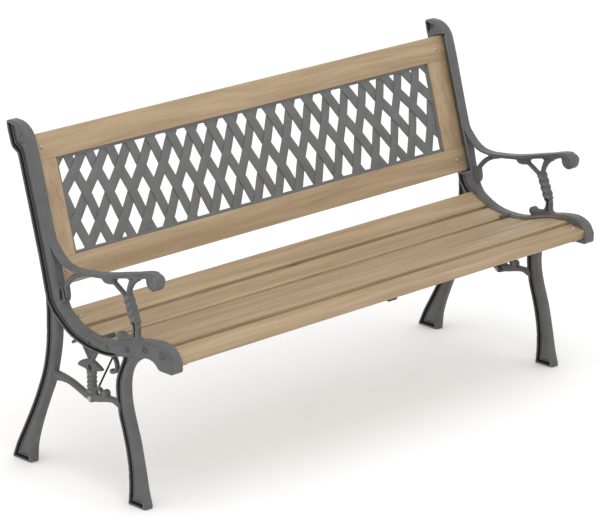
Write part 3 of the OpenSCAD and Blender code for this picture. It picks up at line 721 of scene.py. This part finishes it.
# The stretcher with its hub, column, leaves and hooks.
plate(np.vstack([smooth(stretcher_under, 5), smooth(stretcher_top, 5)[::-1]]),
      15, 4)
disc((-37, 190), 8.5, 15, 2)
roll((-37, 206), (-37, 242), 11, 2.6, 4, 0.0, 4)
for leaf in ([(-37, 273), (-50, 269), (-64, 263), (-74, 256), (-60, 252),
              (-50, 249), (-45, 240), (-37, 236)],
             [(-37, 236), (-29, 240), (-22, 248), (-8, 249), (5, 250),
              (-2, 259), (-14, 266), (-37, 273)]):
    plate(leaf, 11, 4)
disc((-58, 206), 12, 13, 4, hole=6.5)
disc((-80, 211), 8, 16, 5)
bar([(-92, 302), (-106, 296), (-114, 284), (-115, 272), (-109, 263),
     (-100, 263)], 6, 12)
disc((-101, 263), 5, 14, 4)
bar([(-4, 306), (8, 301), (17, 294)], 6, 12)
bar([(-37, 266), (-48, 283), (-60, 301)], 8, 10)
bar([(-37, 266), (-24, 284), (-8, 306)], 8, 10)
plate([(-37, 266), (-60, 301), (-8, 306)], 5, 1)
figure = np.minimum(figure, np.hypot(Y + 37, Z - 255) - 6)
print("area of the casting", round((figure > 0).sum() * NET ** 2 / 100), "cm2")

# %% [markdown]
# The relief is cut last, because its lines run across the joins. A wide
# groove, painted dark as shade, follows the rear edge of the body, then a bead,
# then a second groove that is shallow and fades towards the front edge. All of
# them narrow under the seat. Spirals and thin border lines are cut into the
# outer face of the seat rail and painted dark as shade as well.

# %% Relief cut into both faces
WIDE_DEEP, FINE_DEEP = 6.2, 2.2  # depth of the two grooves
rows_before_bend = len(head_rear[1:-1]) + 7 * FINE
narrow = np.clip((rear_place - rows_before_bend) / (10.3 * FINE), 0, 1)
wide_end = 12 + (5.6 - 12) * narrow
fine_from = 14 + (7.2 - 14) * narrow
fade = 17 + (2.4 - 17) * narrow
groove_end = step_up(-rear_place, -(rows_before_bend + 11.3 * FINE),
                     -(rows_before_bend + 10 * FINE))
under_top = step_up(-Z, -715, -712)
wide = (step_up(from_rear, 2, 3.4) * step_up(wide_end - from_rear, -0.7, 0.7))
fine = (step_up(from_rear - fine_from, -0.6, 0.6)
        * np.clip(1 - (from_rear - fine_from) / fade, 0, 1))
on_body = step_up(body, 0.2, 1.2) * groove_end * under_top
outer_cut = on_body * (WIDE_DEEP * wide + FINE_DEEP * fine)
inner_reach = (step_up(rear_place, 5 + 5.7 * FINE, 5 + 6.3 * FINE)
               * step_up(-rear_place, -5 - 10.5 * FINE, -5 - 9.5 * FINE)
               + step_up(-rear_place, -1.6, -0.6))
inner_cut = outer_cut * inner_reach
# painted shade along the rear rim of the body
rim = step_up(-from_rear, -2.4, -1.4) * step_up(body, -0.5, 0.5)
outer = np.minimum(outer, np.where(body > 0, HALF - outer_cut, FAR))
inner = np.minimum(inner, np.where(body > 0, HALF - inner_cut, FAR))
# painted shade: the body's grooves and rim are painted dark on the outer face, and on the inner
# face only where its grooves are cut
painted_shade = np.where(body > 0, 0, painted_shade)
painted_shade_inner = np.maximum(painted_shade, on_body * inner_reach * (wide + 0.6 * fine))
painted_shade = np.maximum(painted_shade, on_body * (wide + 0.85 * fine))
painted_shade = np.maximum(painted_shade, 0.55 * rim)


def cut_line(line, wide, deep, both=False, dark=0.45):
    """Engraves a thin line and paints shade into it."""
    global outer, inner, painted_shade, painted_shade_inner
    d = nearest(line, 8)[0]
    share = step_up(-d, -wide / 2 - 0.6, -wide / 2 + 0.6)
    outer = outer - deep * share
    # painted shade in the engraved line
    painted_shade = np.maximum(painted_shade, dark * share)
    if both:
        inner = inner - deep * share
        painted_shade_inner = np.maximum(painted_shade_inner, dark * share)


def spiral(middle, radius):
    """A flattened spiral of 1.3 turns."""
    t = np.linspace(0, 1, 26)
    r = radius * (0.22 + 0.78 * t)
    a = math.pi * 0.9 - t * 1.3 * 2 * math.pi
    return np.stack([middle[0] + r * np.cos(a),
                     middle[1] + 0.78 * r * np.sin(a)], 1)


for y, z, r in ((-262, 338, 12), (-212, 338, 9.5), (-160, 326, 8.5),
                (-100, 313, 7.5), (-46, 311, 7)):
    cut_line(spiral((y, z), r), 1.5, 1.5)


def beside(line, gap):
    """A line moved to its left by a gap."""
    run = np.gradient(line, axis=0)
    return line + gap * np.stack([-run[:, 1], run[:, 0]],
                                 1) / np.hypot(*run.T)[:, None]


cut_line(beside(front_line[FINE:23 * FINE], -4.6), 1.3, 1.1)
ring = np.linspace(0, 2 * math.pi, 25)
cut_line(np.stack([148 + 7 * np.cos(ring), 690 + 9 * np.sin(ring)], 1), 1.4,
         0.8)
cut_line(beside(arm_a[10:-8], 5), 1.6, 1.6, both=True)
cut_line([(-174.5, 384), (-176, 372), (-175, 356)], 2.6, 3.0, both=True,
         dark=0.9)
cut_line([(38.5, 405), (35, 392), (31.5, 379)], 2.4, 2.5, dark=0.8)
cut_line([(46.5, 400), (43, 379)], 2.0, 2.0, dark=0.8)
print("deepest cut", round(float(HALF - outer[figure > 2].min()), 1), "mm")

# %% [markdown]
# On the inner face the board and slat ends sit in rebates. Their places are
# measured on the boards themselves, so wood and metal always fit.

# %% Rebates for the wooden ends
REBATE = 8.5                    # depth of the rebates


def rebate(node, ahead, around):
    """Lowers the inner face around a board's end."""
    global inner
    middle, tilt, width, thick = board_shape(node)
    y = Y + FOOT_MIDDLE - middle[0] / MM
    z = Z - middle[1] / MM
    u = y * math.cos(tilt) + z * math.sin(tilt)
    v = -y * math.sin(tilt) + z * math.cos(tilt)
    width, thick = width / MM, thick / MM
    room = np.minimum(width / 2 + around - np.abs(u), np.minimum(
        v + thick / 2 + 0.3, thick / 2 + ahead - v))
    inner = np.minimum(inner, HALF - REBATE * step_up(room, -0.4, 0.8))


for k in range(6):
    rebate(f"seat_slat_{k + 1}", 0.5, 0.4)
print("slat tilt", [round(math.degrees(end_shape(f"seat_slat_{k + 1}")[1]), 1)
                    for k in range(6)])
for node in ("back_bottom_rail", "back_top_rail", "back_stile_left"):
    rebate(node, 13, 2.0)

# %% [markdown]
# Now the net becomes a mesh. Both faces use the same cells. Along the outline
# the cells are cut where the distance crosses zero, so the edge is smooth
# rather than stepped, and a wall joins the two faces there. The right frame
# is the left one mirrored, with its faces turned round again.

# %% From the net to a closed mesh
def blur(field, mask, passes):
    """Average over neighbours that lie on the casting."""
    value, weight = field * mask, mask.astype(float)
    for _ in range(passes):
        for axis in (0, 1):
            value = (np.roll(value, 1, axis) + value
                     + np.roll(value, -1, axis)) / 3
            weight = (np.roll(weight, 1, axis) + weight
                      + np.roll(weight, -1, axis)) / 3
    return value / np.maximum(weight, 1e-6)


metal = figure > -NET
outer = blur(np.clip(outer, 1.5, 15), metal, 1)
inner = blur(np.clip(inner, 1.5, 15), metal, 1)
figure = blur(figure, np.ones_like(metal), 1)
away = step_up(figure, 3, 6)    # the soft outer edge is no hollow
# painted shade and highlight: how far a point lies below its neighbours, plus the painted
# groove shade; below zero on crests
hollows = [np.minimum(blur(side, metal, 9) - side, 9 * away) + 2.6 * dark
           for side, dark in ((outer, blur(painted_shade, metal, 1)),
                              (inner, blur(painted_shade_inner, metal, 1)))]


def net_surface():
    """Points, their hollowness, and faces of the outer and inner skin."""
    inside = figure > 0
    number = -np.ones(Y.shape, int)
    number[inside] = np.arange(inside.sum())
    values = np.stack([Y, Z, outer, inner, *hollows], -1)
    count = int(inside.sum())
    crossings, extra, faces, walls = {}, [], [], []

    def crossing(p, q):
        nonlocal count
        key = (p, q) if p < q else (q, p)
        if key not in crossings:
            a, b = figure[key[0]], figure[key[1]]
            t = min(max(a / (a - b), 0.02), 0.98)
            made = values[key[0]] * (1 - t) + values[key[1]] * t
            made[4:] = 0        # the wall keeps one even colour
            extra.append(made)
            crossings[key] = count
            count += 1
        return crossings[key]

    total = sum(c.astype(int) for c in (inside[:-1, :-1], inside[1:, :-1],
                                        inside[1:, 1:], inside[:-1, 1:]))
    full = np.argwhere(total == 4)
    i, j = full[:, 0], full[:, 1]
    faces.extend(np.stack([number[i, j], number[i + 1, j],
                           number[i + 1, j + 1], number[i, j + 1]],
                          1).tolist())
    for i, j in np.argwhere((total > 0) & (total < 4)).tolist():
        cell = [(i, j), (i + 1, j), (i + 1, j + 1), (i, j + 1)]
        ring = []
        for p, q in zip(cell, cell[1:] + cell[:1]):
            if inside[p]:
                ring.append((number[p], True))
            if inside[p] != inside[q]:
                ring.append((crossing(p, q), False))
        cuts = [k for k, (_, kept) in enumerate(ring) if not kept]
        if len(cuts) == 4:      # two opposite corners: two small triangles
            parts = []
            for k, (_, kept) in enumerate(ring):
                if kept:
                    parts.append([ring[k - 1], ring[k],
                                  ring[(k + 1) % len(ring)]])
        else:
            parts = [ring]
        for part in parts:
            faces.append([v for v, _ in part])
            for k in range(len(part)):
                (a, ka), (b, kb) = part[k], part[(k + 1) % len(part)]
                if not ka and not kb:
                    walls.append((a, b))
    return np.vstack([values[inside], np.array(extra)]), faces, walls


points, skin, walls = net_surface()
print("skin of", len(skin), "cells and a wall of", len(walls))

MIDDLE_X = cad_box[1][0] / MM - 1 - HALF   # middle plane of a frame


def casting(name, side):
    """The left frame for side -1, the right one for side 1."""
    n = len(points)
    y, z = points[:, 0] + FOOT_MIDDLE, points[:, 1]
    out = np.stack([side * (MIDDLE_X + points[:, 2]), y, z], 1)
    back = np.stack([side * (MIDDLE_X - points[:, 3]), y, z], 1)
    faces = skin + [[v + n for v in f[::-1]] for f in skin]
    faces += [[b, a, a + n, b + n] for a, b in walls]
    if side < 0:
        faces = [f[::-1] for f in faces]
    mesh = bpy.data.meshes.new(name)
    mesh.from_pydata((np.vstack([out, back]) * MM).tolist(), [], faces)
    # the hollow attribute drives the painted shade in hollows and the painted highlight on
    # crests
    hollow = mesh.attributes.new("hollow", "FLOAT", "POINT")
    hollow.data.foreach_set("value", np.concatenate(
        [points[:, 4], points[:, 5]]).astype(np.float32))
    mesh.update()
    return mesh


print("middle plane of a frame at", round(MIDDLE_X, 1), "mm")

# %% [markdown]
# Cast metal under grey paint. The paint is even and satin, and the sand of the
# mould leaves a fine grain under it. The grooves are painted dark as shade,
# because little light reaches them. The mesh carries how hollow each point is,
# and one group turns that into painted shade in the hollows and painted
# highlights on the crests and edges.

# %% The paint of the castings and the panel
paint, p_in, p_out = group("grey paint", "ShaderNodeTree", [
    ("Place", "Vector", None), ("Base", "Color", (0.1, 0.1, 0.1, 1)),
    ("Deep", "Color", (0.02, 0.02, 0.02, 1)), ("Hollow", "Float", 0.0),
    ("Grain Size", "Float", 900.0)], [
    ("Color", "Color"), ("Height", "Float"), ("Gloss Mask", "Float")])
p = p_in.outputs
cloud = add(paint, "ShaderNodeTexNoise", Vector=p["Place"], Scale=26.0,
            Detail=5.0, Roughness=0.6)
sand = add(paint, "ShaderNodeTexNoise", Vector=p["Place"],
           Scale=p["Grain Size"], Detail=2.0)
patchy = mix(paint, remap(paint, cloud.outputs[0], 0.3, 0.7, 0.0, 0.22),
             p["Base"], p["Deep"])
pitted = mix(paint, remap(paint, sand.outputs[0], 0.35, 0.7, 0.12, 0.0),
             patchy, p["Deep"])
# painted shade: darker towards the Deep tone where the point is hollow, with a little cloudy
# change
painted_shade_share = remap(paint, math_node(paint, "ADD", p["Hollow"], math_node(
    paint, "MULTIPLY", math_node(paint, "SUBTRACT", cloud.outputs[0], 0.5),
    0.5)), 0.25, 1.9, 0.0, 0.97)
painted_shade_colour = mix(paint, painted_shade_share, pitted, p["Deep"])
# painted highlight: a lighter grey on crests, where the hollow value is below zero
edge = remap(paint, p["Hollow"], -0.5, -2.2, 0.0, 0.30)
painted_highlight_colour = mix(paint, edge, painted_shade_colour, srgb(176, 176, 174))
paint.links.new(painted_highlight_colour, p_out.inputs["Color"])
paint.links.new(math_node(paint, "ADD", sand.outputs[0], cloud.outputs[0]),
                p_out.inputs["Height"])
paint.links.new(painted_shade_share, p_out.inputs["Gloss Mask"])


def painted(name, base, deep, grain_size=900.0, rough=(0.42, 0.6)):
    """Grey paint with its own tone; deep is its darker tone for patches, pits and the painted
    shade in the hollows.
    """
    material, tree, shader = principled(name)
    place = add(tree, "ShaderNodeTexCoord").outputs["Object"]
    # the hollow attribute drives the painted shade and painted highlight
    hollow = add(tree, "ShaderNodeAttribute", attribute_name="hollow")
    made = add(tree, "ShaderNodeGroup")
    made.node_tree = paint
    tree.links.new(place, made.inputs["Place"])
    tree.links.new(hollow.outputs["Fac"], made.inputs["Hollow"])
    made.inputs["Base"].default_value = base
    made.inputs["Deep"].default_value = deep
    made.inputs["Grain Size"].default_value = grain_size
    shader.inputs["Specular IOR Level"].default_value = 0.2
    tree.links.new(made.outputs["Color"], shader.inputs["Base Color"])
    tree.links.new(remap(tree, made.outputs["Gloss Mask"], 0, 1, *rough),
                   shader.inputs["Roughness"])
    bump = add(tree, "ShaderNodeBump", Strength=0.3, Distance=0.0003,
               Height=made.outputs["Height"])
    tree.links.new(bump.outputs[0], shader.inputs["Normal"])
    return material


# srgb(14) is the colour of the painted shade in the castings' grooves
cast_paint = painted("cast_grey", srgb(98, 98, 98), srgb(14, 14, 14))
print("paint group with", len(paint.nodes), "nodes")

# %% [markdown]
# Both end frames come from the same net, one as the mirror image of the other.
# The lugs under the slats and behind the rails are flat plates, so they are
# made like the boards.

# %% The two end frames with their lugs
LUG = 5.0                       # thickness of a lug
SEAT_LUG, BACK_LUG = (33, 30), (47, 40)    # length and width
LUG_EDGE = 1.5                  # radius of a lug's edges


def lugs(side):
    """Flat lugs on the inner face that the boards are bolted to."""
    from_x = MIDDLE_X - HALF + REBATE + 0.5
    made = []
    held = [(f"seat_slat_{k + 1}", SEAT_LUG, end_shape) for k in range(6)]
    held += [(node, BACK_LUG, board_shape)
             for node in ("back_bottom_rail", "back_top_rail")]
    # Known fault: end_shape measures slat 3 a quarter turn off, so the lug of
    # slat 3 stands on edge behind the slat and does not lie under it.
    for node, (long, wide), measure in held:
        middle, tilt, _, thick = measure(node)
        mesh = grown("lug", board_tree, {
            "Length": long * MM, "Width": wide * MM, "Thickness": LUG * MM,
            "Edge Radius": LUG_EDGE * MM, "Surface": cast_paint})
        drop = Matrix.Translation((0, 0, -thick / 2 - LUG * MM / 2))
        mesh.transform(Matrix.Translation((side * (from_x - long / 2) * MM,
                                           *middle))
                       @ Matrix.Rotation(tilt, 4, "X") @ drop)
        made.append(mesh)
    return made


def joined(name, meshes):
    """One mesh of several."""
    whole = bmesh.new()
    for mesh in meshes:
        whole.from_mesh(mesh)
    result = bpy.data.meshes.new(name)
    whole.to_mesh(result)
    whole.free()
    result.materials.append(meshes[0].materials[0])
    return result


for side, node in ((-1, "left_end_frame"), (1, "right_end_frame")):
    mesh = casting(node + "_casting", side)
    mesh.materials.append(cast_paint)
    shown(node + "_casting", mesh, [node], sharp=50)
    shown(node + "_lugs", joined(node + "_lugs", lugs(side)), [])
    print(node, "has", len(mesh.polygons), "faces")

# %% [markdown]
# The panel is woven from flat strips in two families that lean opposite ways
# and lean more towards both ends. They pass over and under each other. Each
# strip starts as a line of points whose height steps at every crossing, and a
# node tree sweeps a flat section along all of them at once.

# %% Lines of the woven strips
back_low = end_shape("back_bottom_rail")
back_high = end_shape("back_top_rail")
back_tilt = math.atan2(back_high[0][1] - back_low[0][1],
                       back_high[0][0] - back_low[0][0])
RAIL = max(back_low[2:]) / MM   # height of a rail
BOARD = min(back_low[2:]) / MM  # thickness of a rail
opening = math.hypot(back_high[0][0] - back_low[0][0],
                     back_high[0][1] - back_low[0][1]) / MM - RAIL
opening_half = -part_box("back_stile_left")[1].x / MM
STRIP = 22.0                    # width of a strip
STRIP_THICK = 3.0
STRIP_EDGE = 0.7                # radius of a strip's edges
PANEL_BACK = 4.5                # the panel lies this far behind the boards
PANEL = 5.0                     # thickness of the panel's border


def on_back(mesh):
    """Places a mesh made flat, x along and y up the back, z to the front."""
    middle = [(a + b) / 2 for a, b in zip(back_low[0], back_high[0])]
    mesh.transform(Matrix.Translation((0, *middle))
                   @ Matrix.Rotation(back_tilt, 4, "X"))
    return mesh


def strip_at(n):
    """Where strip n crosses the middle height of the panel."""
    return (-10.1 + 58.08 * n - 0.45 * n ** 2
            + 0.0246 * n ** 3) * opening_half / 533


def strip_lean(n):
    """How far strip n moves sideways for each step up."""
    return 0.51 - 0.0314 * n + 0.00188 * n ** 2 - 0.00006 * n ** 3


numbers = [k - 9.5 for k in range(21)]
FRONT_OVER = BOARD / 2 - PANEL_BACK - 0.6  # height of a strip that lies over
WEAVE = 2.2                     # an under strip lies this much deeper
SHORTEST = 12                   # shorter pieces in the corners are left out


def strip_line(n, mirrored):
    """Points (x, y, z) of one strip in the flat panel."""
    marks = []
    for m in numbers:
        v = -(strip_at(n) + strip_at(m)) / (strip_lean(n) + strip_lean(m))
        over = (n + m + 60 + mirrored) % 2 == 0
        half = (STRIP / 2 * math.hypot(1, strip_lean(m))
                / (strip_lean(n) + strip_lean(m)) + 0.5)
        marks += [(v - half, over), (v + half, over)]
    marks.sort()
    end = opening / 2 + 7
    at = np.array([v for v, _ in marks])
    up = np.array([float(over) for _, over in marks])
    side = -1 if mirrored else 1
    # The strip ends at the rails, or earlier where it reaches a stile.
    limit = opening_half + 2
    lowest = max(-end, (-limit - strip_at(n)) / strip_lean(n))
    highest = min(end, (limit - strip_at(n)) / strip_lean(n))
    if highest - lowest < SHORTEST:
        return []
    stops = sorted([lowest, highest]
                   + [v for v in at if lowest < v < highest])
    return [(side * (strip_at(n) + strip_lean(n) * v), v,
             FRONT_OVER - WEAVE * (1 - np.interp(v, at, up))) for v in stops]


def line_mesh(name, lines):
    """A mesh of loose edges, one chain for each line."""
    points, edges = [], []
    for line in lines:
        edges += [(len(points) + k, len(points) + k + 1)
                  for k in range(len(line) - 1)]
        points += [tuple(c * MM for c in p) for p in line]
    mesh = bpy.data.meshes.new(name)
    mesh.from_pydata(points, edges, [])
    return mesh


woven_lines = [strip_line(n, mirrored) for mirrored in (0, 1)
               for n in numbers]
woven_lines = [line for line in woven_lines if line]
print(len(woven_lines), "strips across an opening of", round(opening),
      "by", round(2 * opening_half), "mm")

# %% [markdown]
# The tree joins the points of each line, keeps its flat side to the front and
# sweeps the eased section of a strip along it.

# %% Node tree that sweeps the strips
weave_tree, w_in, w_out = group("woven strips", "GeometryNodeTree", [
    ("Lines", "Geometry", None), ("Strip Width", "Float", 0.024),
    ("Strip Thickness", "Float", 0.003), ("Edge Radius", "Float", 0.0006),
    ("Surface", "Material", None)], [("Geometry", "Geometry")])
w = w_in.outputs
chains = add(weave_tree, "GeometryNodeMeshToCurve", Mesh=w["Lines"])
level = add(weave_tree, "GeometryNodeSetCurveNormal", mode="Z_UP",
            Curve=chains.outputs[0])
section = add(weave_tree, "GeometryNodeCurvePrimitiveQuadrilateral",
              Width=w["Strip Width"], Height=w["Strip Thickness"])
eased = add(weave_tree, "GeometryNodeFilletCurve", mode="POLY",
            Curve=section.outputs[0], Count=2, Radius=w["Edge Radius"])
swept = add(weave_tree, "GeometryNodeCurveToMesh", Curve=level.outputs[0],
            Profile_Curve=eased.outputs[0], Fill_Caps=True)
finish_tree(weave_tree, swept.outputs[0], w["Surface"], w_out)
panel_paint = painted("panel_grey", srgb(108, 108, 108), srgb(60, 60, 60),
                      grain_size=1400.0, rough=(0.5, 0.65))
strips = grown("strips", weave_tree, {
    "Strip Width": STRIP * MM, "Strip Thickness": STRIP_THICK * MM,
    "Edge Radius": STRIP_EDGE * MM, "Surface": panel_paint},
    line_mesh("strip_lines", woven_lines))
# The section is centred on its line, so the strips move back by half of it.
strips.transform(Matrix.Translation((0, 0, -STRIP_THICK / 2 * MM)))
size = np.ptp(np.array([v.co for v in strips.vertices]), axis=0) / MM
print("woven strips:", len(strips.polygons), "faces, size", size.round(1))

# %% [markdown]
# A border of four flat bars closes the panel. Most of its width sits in the
# grooves of the boards.

# %% Border of the panel
BORDER, GRIP = 6.0, 8.0         # seen width, and what sits in the boards
level_z = BOARD / 2 - PANEL_BACK - PANEL / 2
side_x = opening_half + (GRIP - BORDER) / 2
top_y = (opening + GRIP - BORDER) / 2
bars = []
for length, x, y, turned in (
        (2 * (opening_half + GRIP), 0, top_y, 0),
        (2 * (opening_half + GRIP), 0, -top_y, 0),
        (opening, -side_x, 0, math.pi / 2), (opening, side_x, 0, math.pi / 2)):
    bar_mesh = grown("border", board_tree, {
        "Length": length * MM, "Width": (BORDER + GRIP) * MM,
        "Thickness": PANEL * MM, "Edge Radius": 0.8 * MM,
        "Surface": panel_paint})
    bar_mesh.transform(
        Matrix.Translation((x * MM, y * MM, level_z * MM))
        @ Matrix.Rotation(turned, 4, "Z"))
    bars.append(bar_mesh)
panel = on_back(joined("lattice_panel_woven", [strips] + bars))
shown("lattice_panel_woven", panel, ["lattice_panel"])
print("panel with border:", len(panel.polygons), "faces")

# %% [markdown]
# Plated bolts with low round heads. Every bolt is the same, so one is made
# from a flattened ball and a short shank and set on a point at each place,
# turned to stand on the wood.

# %% Bolt heads by a node tree
bolt_tree, o_in, o_out = group("bolts", "GeometryNodeTree", [
    ("Places", "Geometry", None), ("Head Radius", "Float", 0.0045),
    ("Dome", "Float", 0.6), ("Shank Radius", "Float", 0.003),
    ("Shank Length", "Float", 0.02), ("Surface", "Material", None)],
    [("Geometry", "Geometry")])
o = o_in.outputs
ball = add(bolt_tree, "GeometryNodeMeshUVSphere", Segments=20, Rings=12,
           Radius=o["Head Radius"])
spot = bolt_tree.nodes.new("GeometryNodeInputPosition")
parts = add(bolt_tree, "ShaderNodeSeparateXYZ", Vector=spot.outputs[0])
raised = math_node(bolt_tree, "MULTIPLY", math_node(
    bolt_tree, "MAXIMUM", parts.outputs[2], 0.0), o["Dome"])
flat = add(bolt_tree, "ShaderNodeCombineXYZ", X=parts.outputs[0],
           Y=parts.outputs[1], Z=raised)
dome = add(bolt_tree, "GeometryNodeSetPosition", Geometry=ball.outputs[0],
           Position=flat.outputs[0])
shank = add(bolt_tree, "GeometryNodeMeshCylinder", Vertices=20,
            Radius=o["Shank Radius"], Depth=o["Shank Length"])
lowered = add(bolt_tree, "GeometryNodeTransform",
              Geometry=shank.outputs[0], Translation=add(
                  bolt_tree, "ShaderNodeCombineXYZ", Z=math_node(
                      bolt_tree, "MULTIPLY", o["Shank Length"],
                      -0.5)).outputs[0])
whole = bolt_tree.nodes.new("GeometryNodeJoinGeometry")
bolt_tree.links.new(lowered.outputs[0], whole.inputs[0])
bolt_tree.links.new(dome.outputs[0], whole.inputs[0])
up = add(bolt_tree, "GeometryNodeInputNamedAttribute",
         data_type="FLOAT_VECTOR", Name="up")
turned = add(bolt_tree, "FunctionNodeAlignRotationToVector", axis="Z",
             Vector=up.outputs["Attribute"])
placed = add(bolt_tree, "GeometryNodeInstanceOnPoints", Points=o["Places"],
             Instance=whole.outputs[0], Rotation=turned.outputs[0])
finish_tree(bolt_tree, placed.outputs[0], o["Surface"], o_out)


def plated(name, base, rough):
    """Zinc plating: bright, with cloudy patches."""
    material, tree, shader = principled(name)
    shader.inputs["Metallic"].default_value = 0.85
    place = add(tree, "ShaderNodeTexCoord").outputs["Object"]
    cloud = add(tree, "ShaderNodeTexNoise", Vector=place, Scale=220.0,
                Detail=4.0)
    tree.links.new(mix(tree, remap(tree, cloud.outputs[0], 0.35, 0.7, 0, 0.5),
                       base, srgb(110, 104, 98)), shader.inputs["Base Color"])
    tree.links.new(remap(tree, cloud.outputs[0], 0.3, 0.7, rough,
                         rough + 0.2), shader.inputs["Roughness"])
    bump = add(tree, "ShaderNodeBump", Strength=0.2, Distance=0.0002,
               Height=cloud.outputs[0])
    tree.links.new(bump.outputs[0], shader.inputs["Normal"])
    return material


zinc = plated("zinc_plate", srgb(186, 178, 168), 0.32)
print("bolt tree with", len(bolt_tree.nodes), "nodes")

# %% [markdown]
# Each bolt stands on the board that it holds, so its place and its direction
# are read from the board.

# %% Bolts of the seat and of the back
HEAD = 4.5                      # radius of a bolt head
DOME = 0.62                     # height of a head, as a share of its radius
SHANK = 3.0                     # radius of a bolt


def bolt_points(node, boards_bolted):
    """Points on the boards under each bolt head, with their up direction."""
    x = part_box(node)[1].x - HEAD * MM
    places, ups = [], []
    for board in boards_bolted:
        middle, tilt, _, thick = board_shape(board)
        out = Vector((0, -math.sin(tilt), math.cos(tilt)))
        for side in (-1, 1):
            places.append(Vector((side * x, *middle)) + out * thick / 2)
            ups.append(out)
    mesh = bpy.data.meshes.new(node + "_points")
    mesh.from_pydata([tuple(p) for p in places], [], [])
    mesh.attributes.new("up", "FLOAT_VECTOR", "POINT").data.foreach_set(
        "vector", [c for u in ups for c in u])
    return mesh


for node, held, length in (
        ("seat_bolts", ("seat_slat_1", "seat_slat_2", "seat_slat_6"), 27.4),
        ("back_bolts", ("back_bottom_rail", "back_top_rail"), 29.4)):
    mesh = grown(node + "_plated", bolt_tree, {
        "Head Radius": HEAD * MM, "Dome": DOME, "Shank Radius": SHANK * MM,
        "Shank Length": length * MM, "Surface": zinc},
        bolt_points(node, held))
    shown(node + "_plated", mesh, [node])

# %% [markdown]
# The strap under the seat, the two brace rods, the nuts, washers, screws and
# dowels keep the shape of their solids. They only get their surfaces.

# %% Surfaces of the pieces that keep their shape
strap_paint = painted("strap_grey", srgb(62, 62, 62), srgb(22, 22, 22))
dowel_wood = wood("dowel_wood", (0.4, 0.3, 0.2), True, TAN, BROWN)


def give_surface(material, *nodes):
    """Gives solids that stay as they are their material."""
    for node in nodes:
        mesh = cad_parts[node].data
        mesh.materials.clear()
        mesh.materials.append(material)
    return len(nodes)


kept = give_surface(strap_paint, "seat_strap", "brace_rod_left",
                    "brace_rod_right")
kept += give_surface(zinc, "seat_washers", "seat_nuts", "seat_screws",
                     "back_washers", "back_nuts", "strap_screws",
                     "brace_bolts", "brace_nuts", "brace_screws")
kept += give_surface(dowel_wood, "back_dowels")
print(kept, "pieces surfaced")
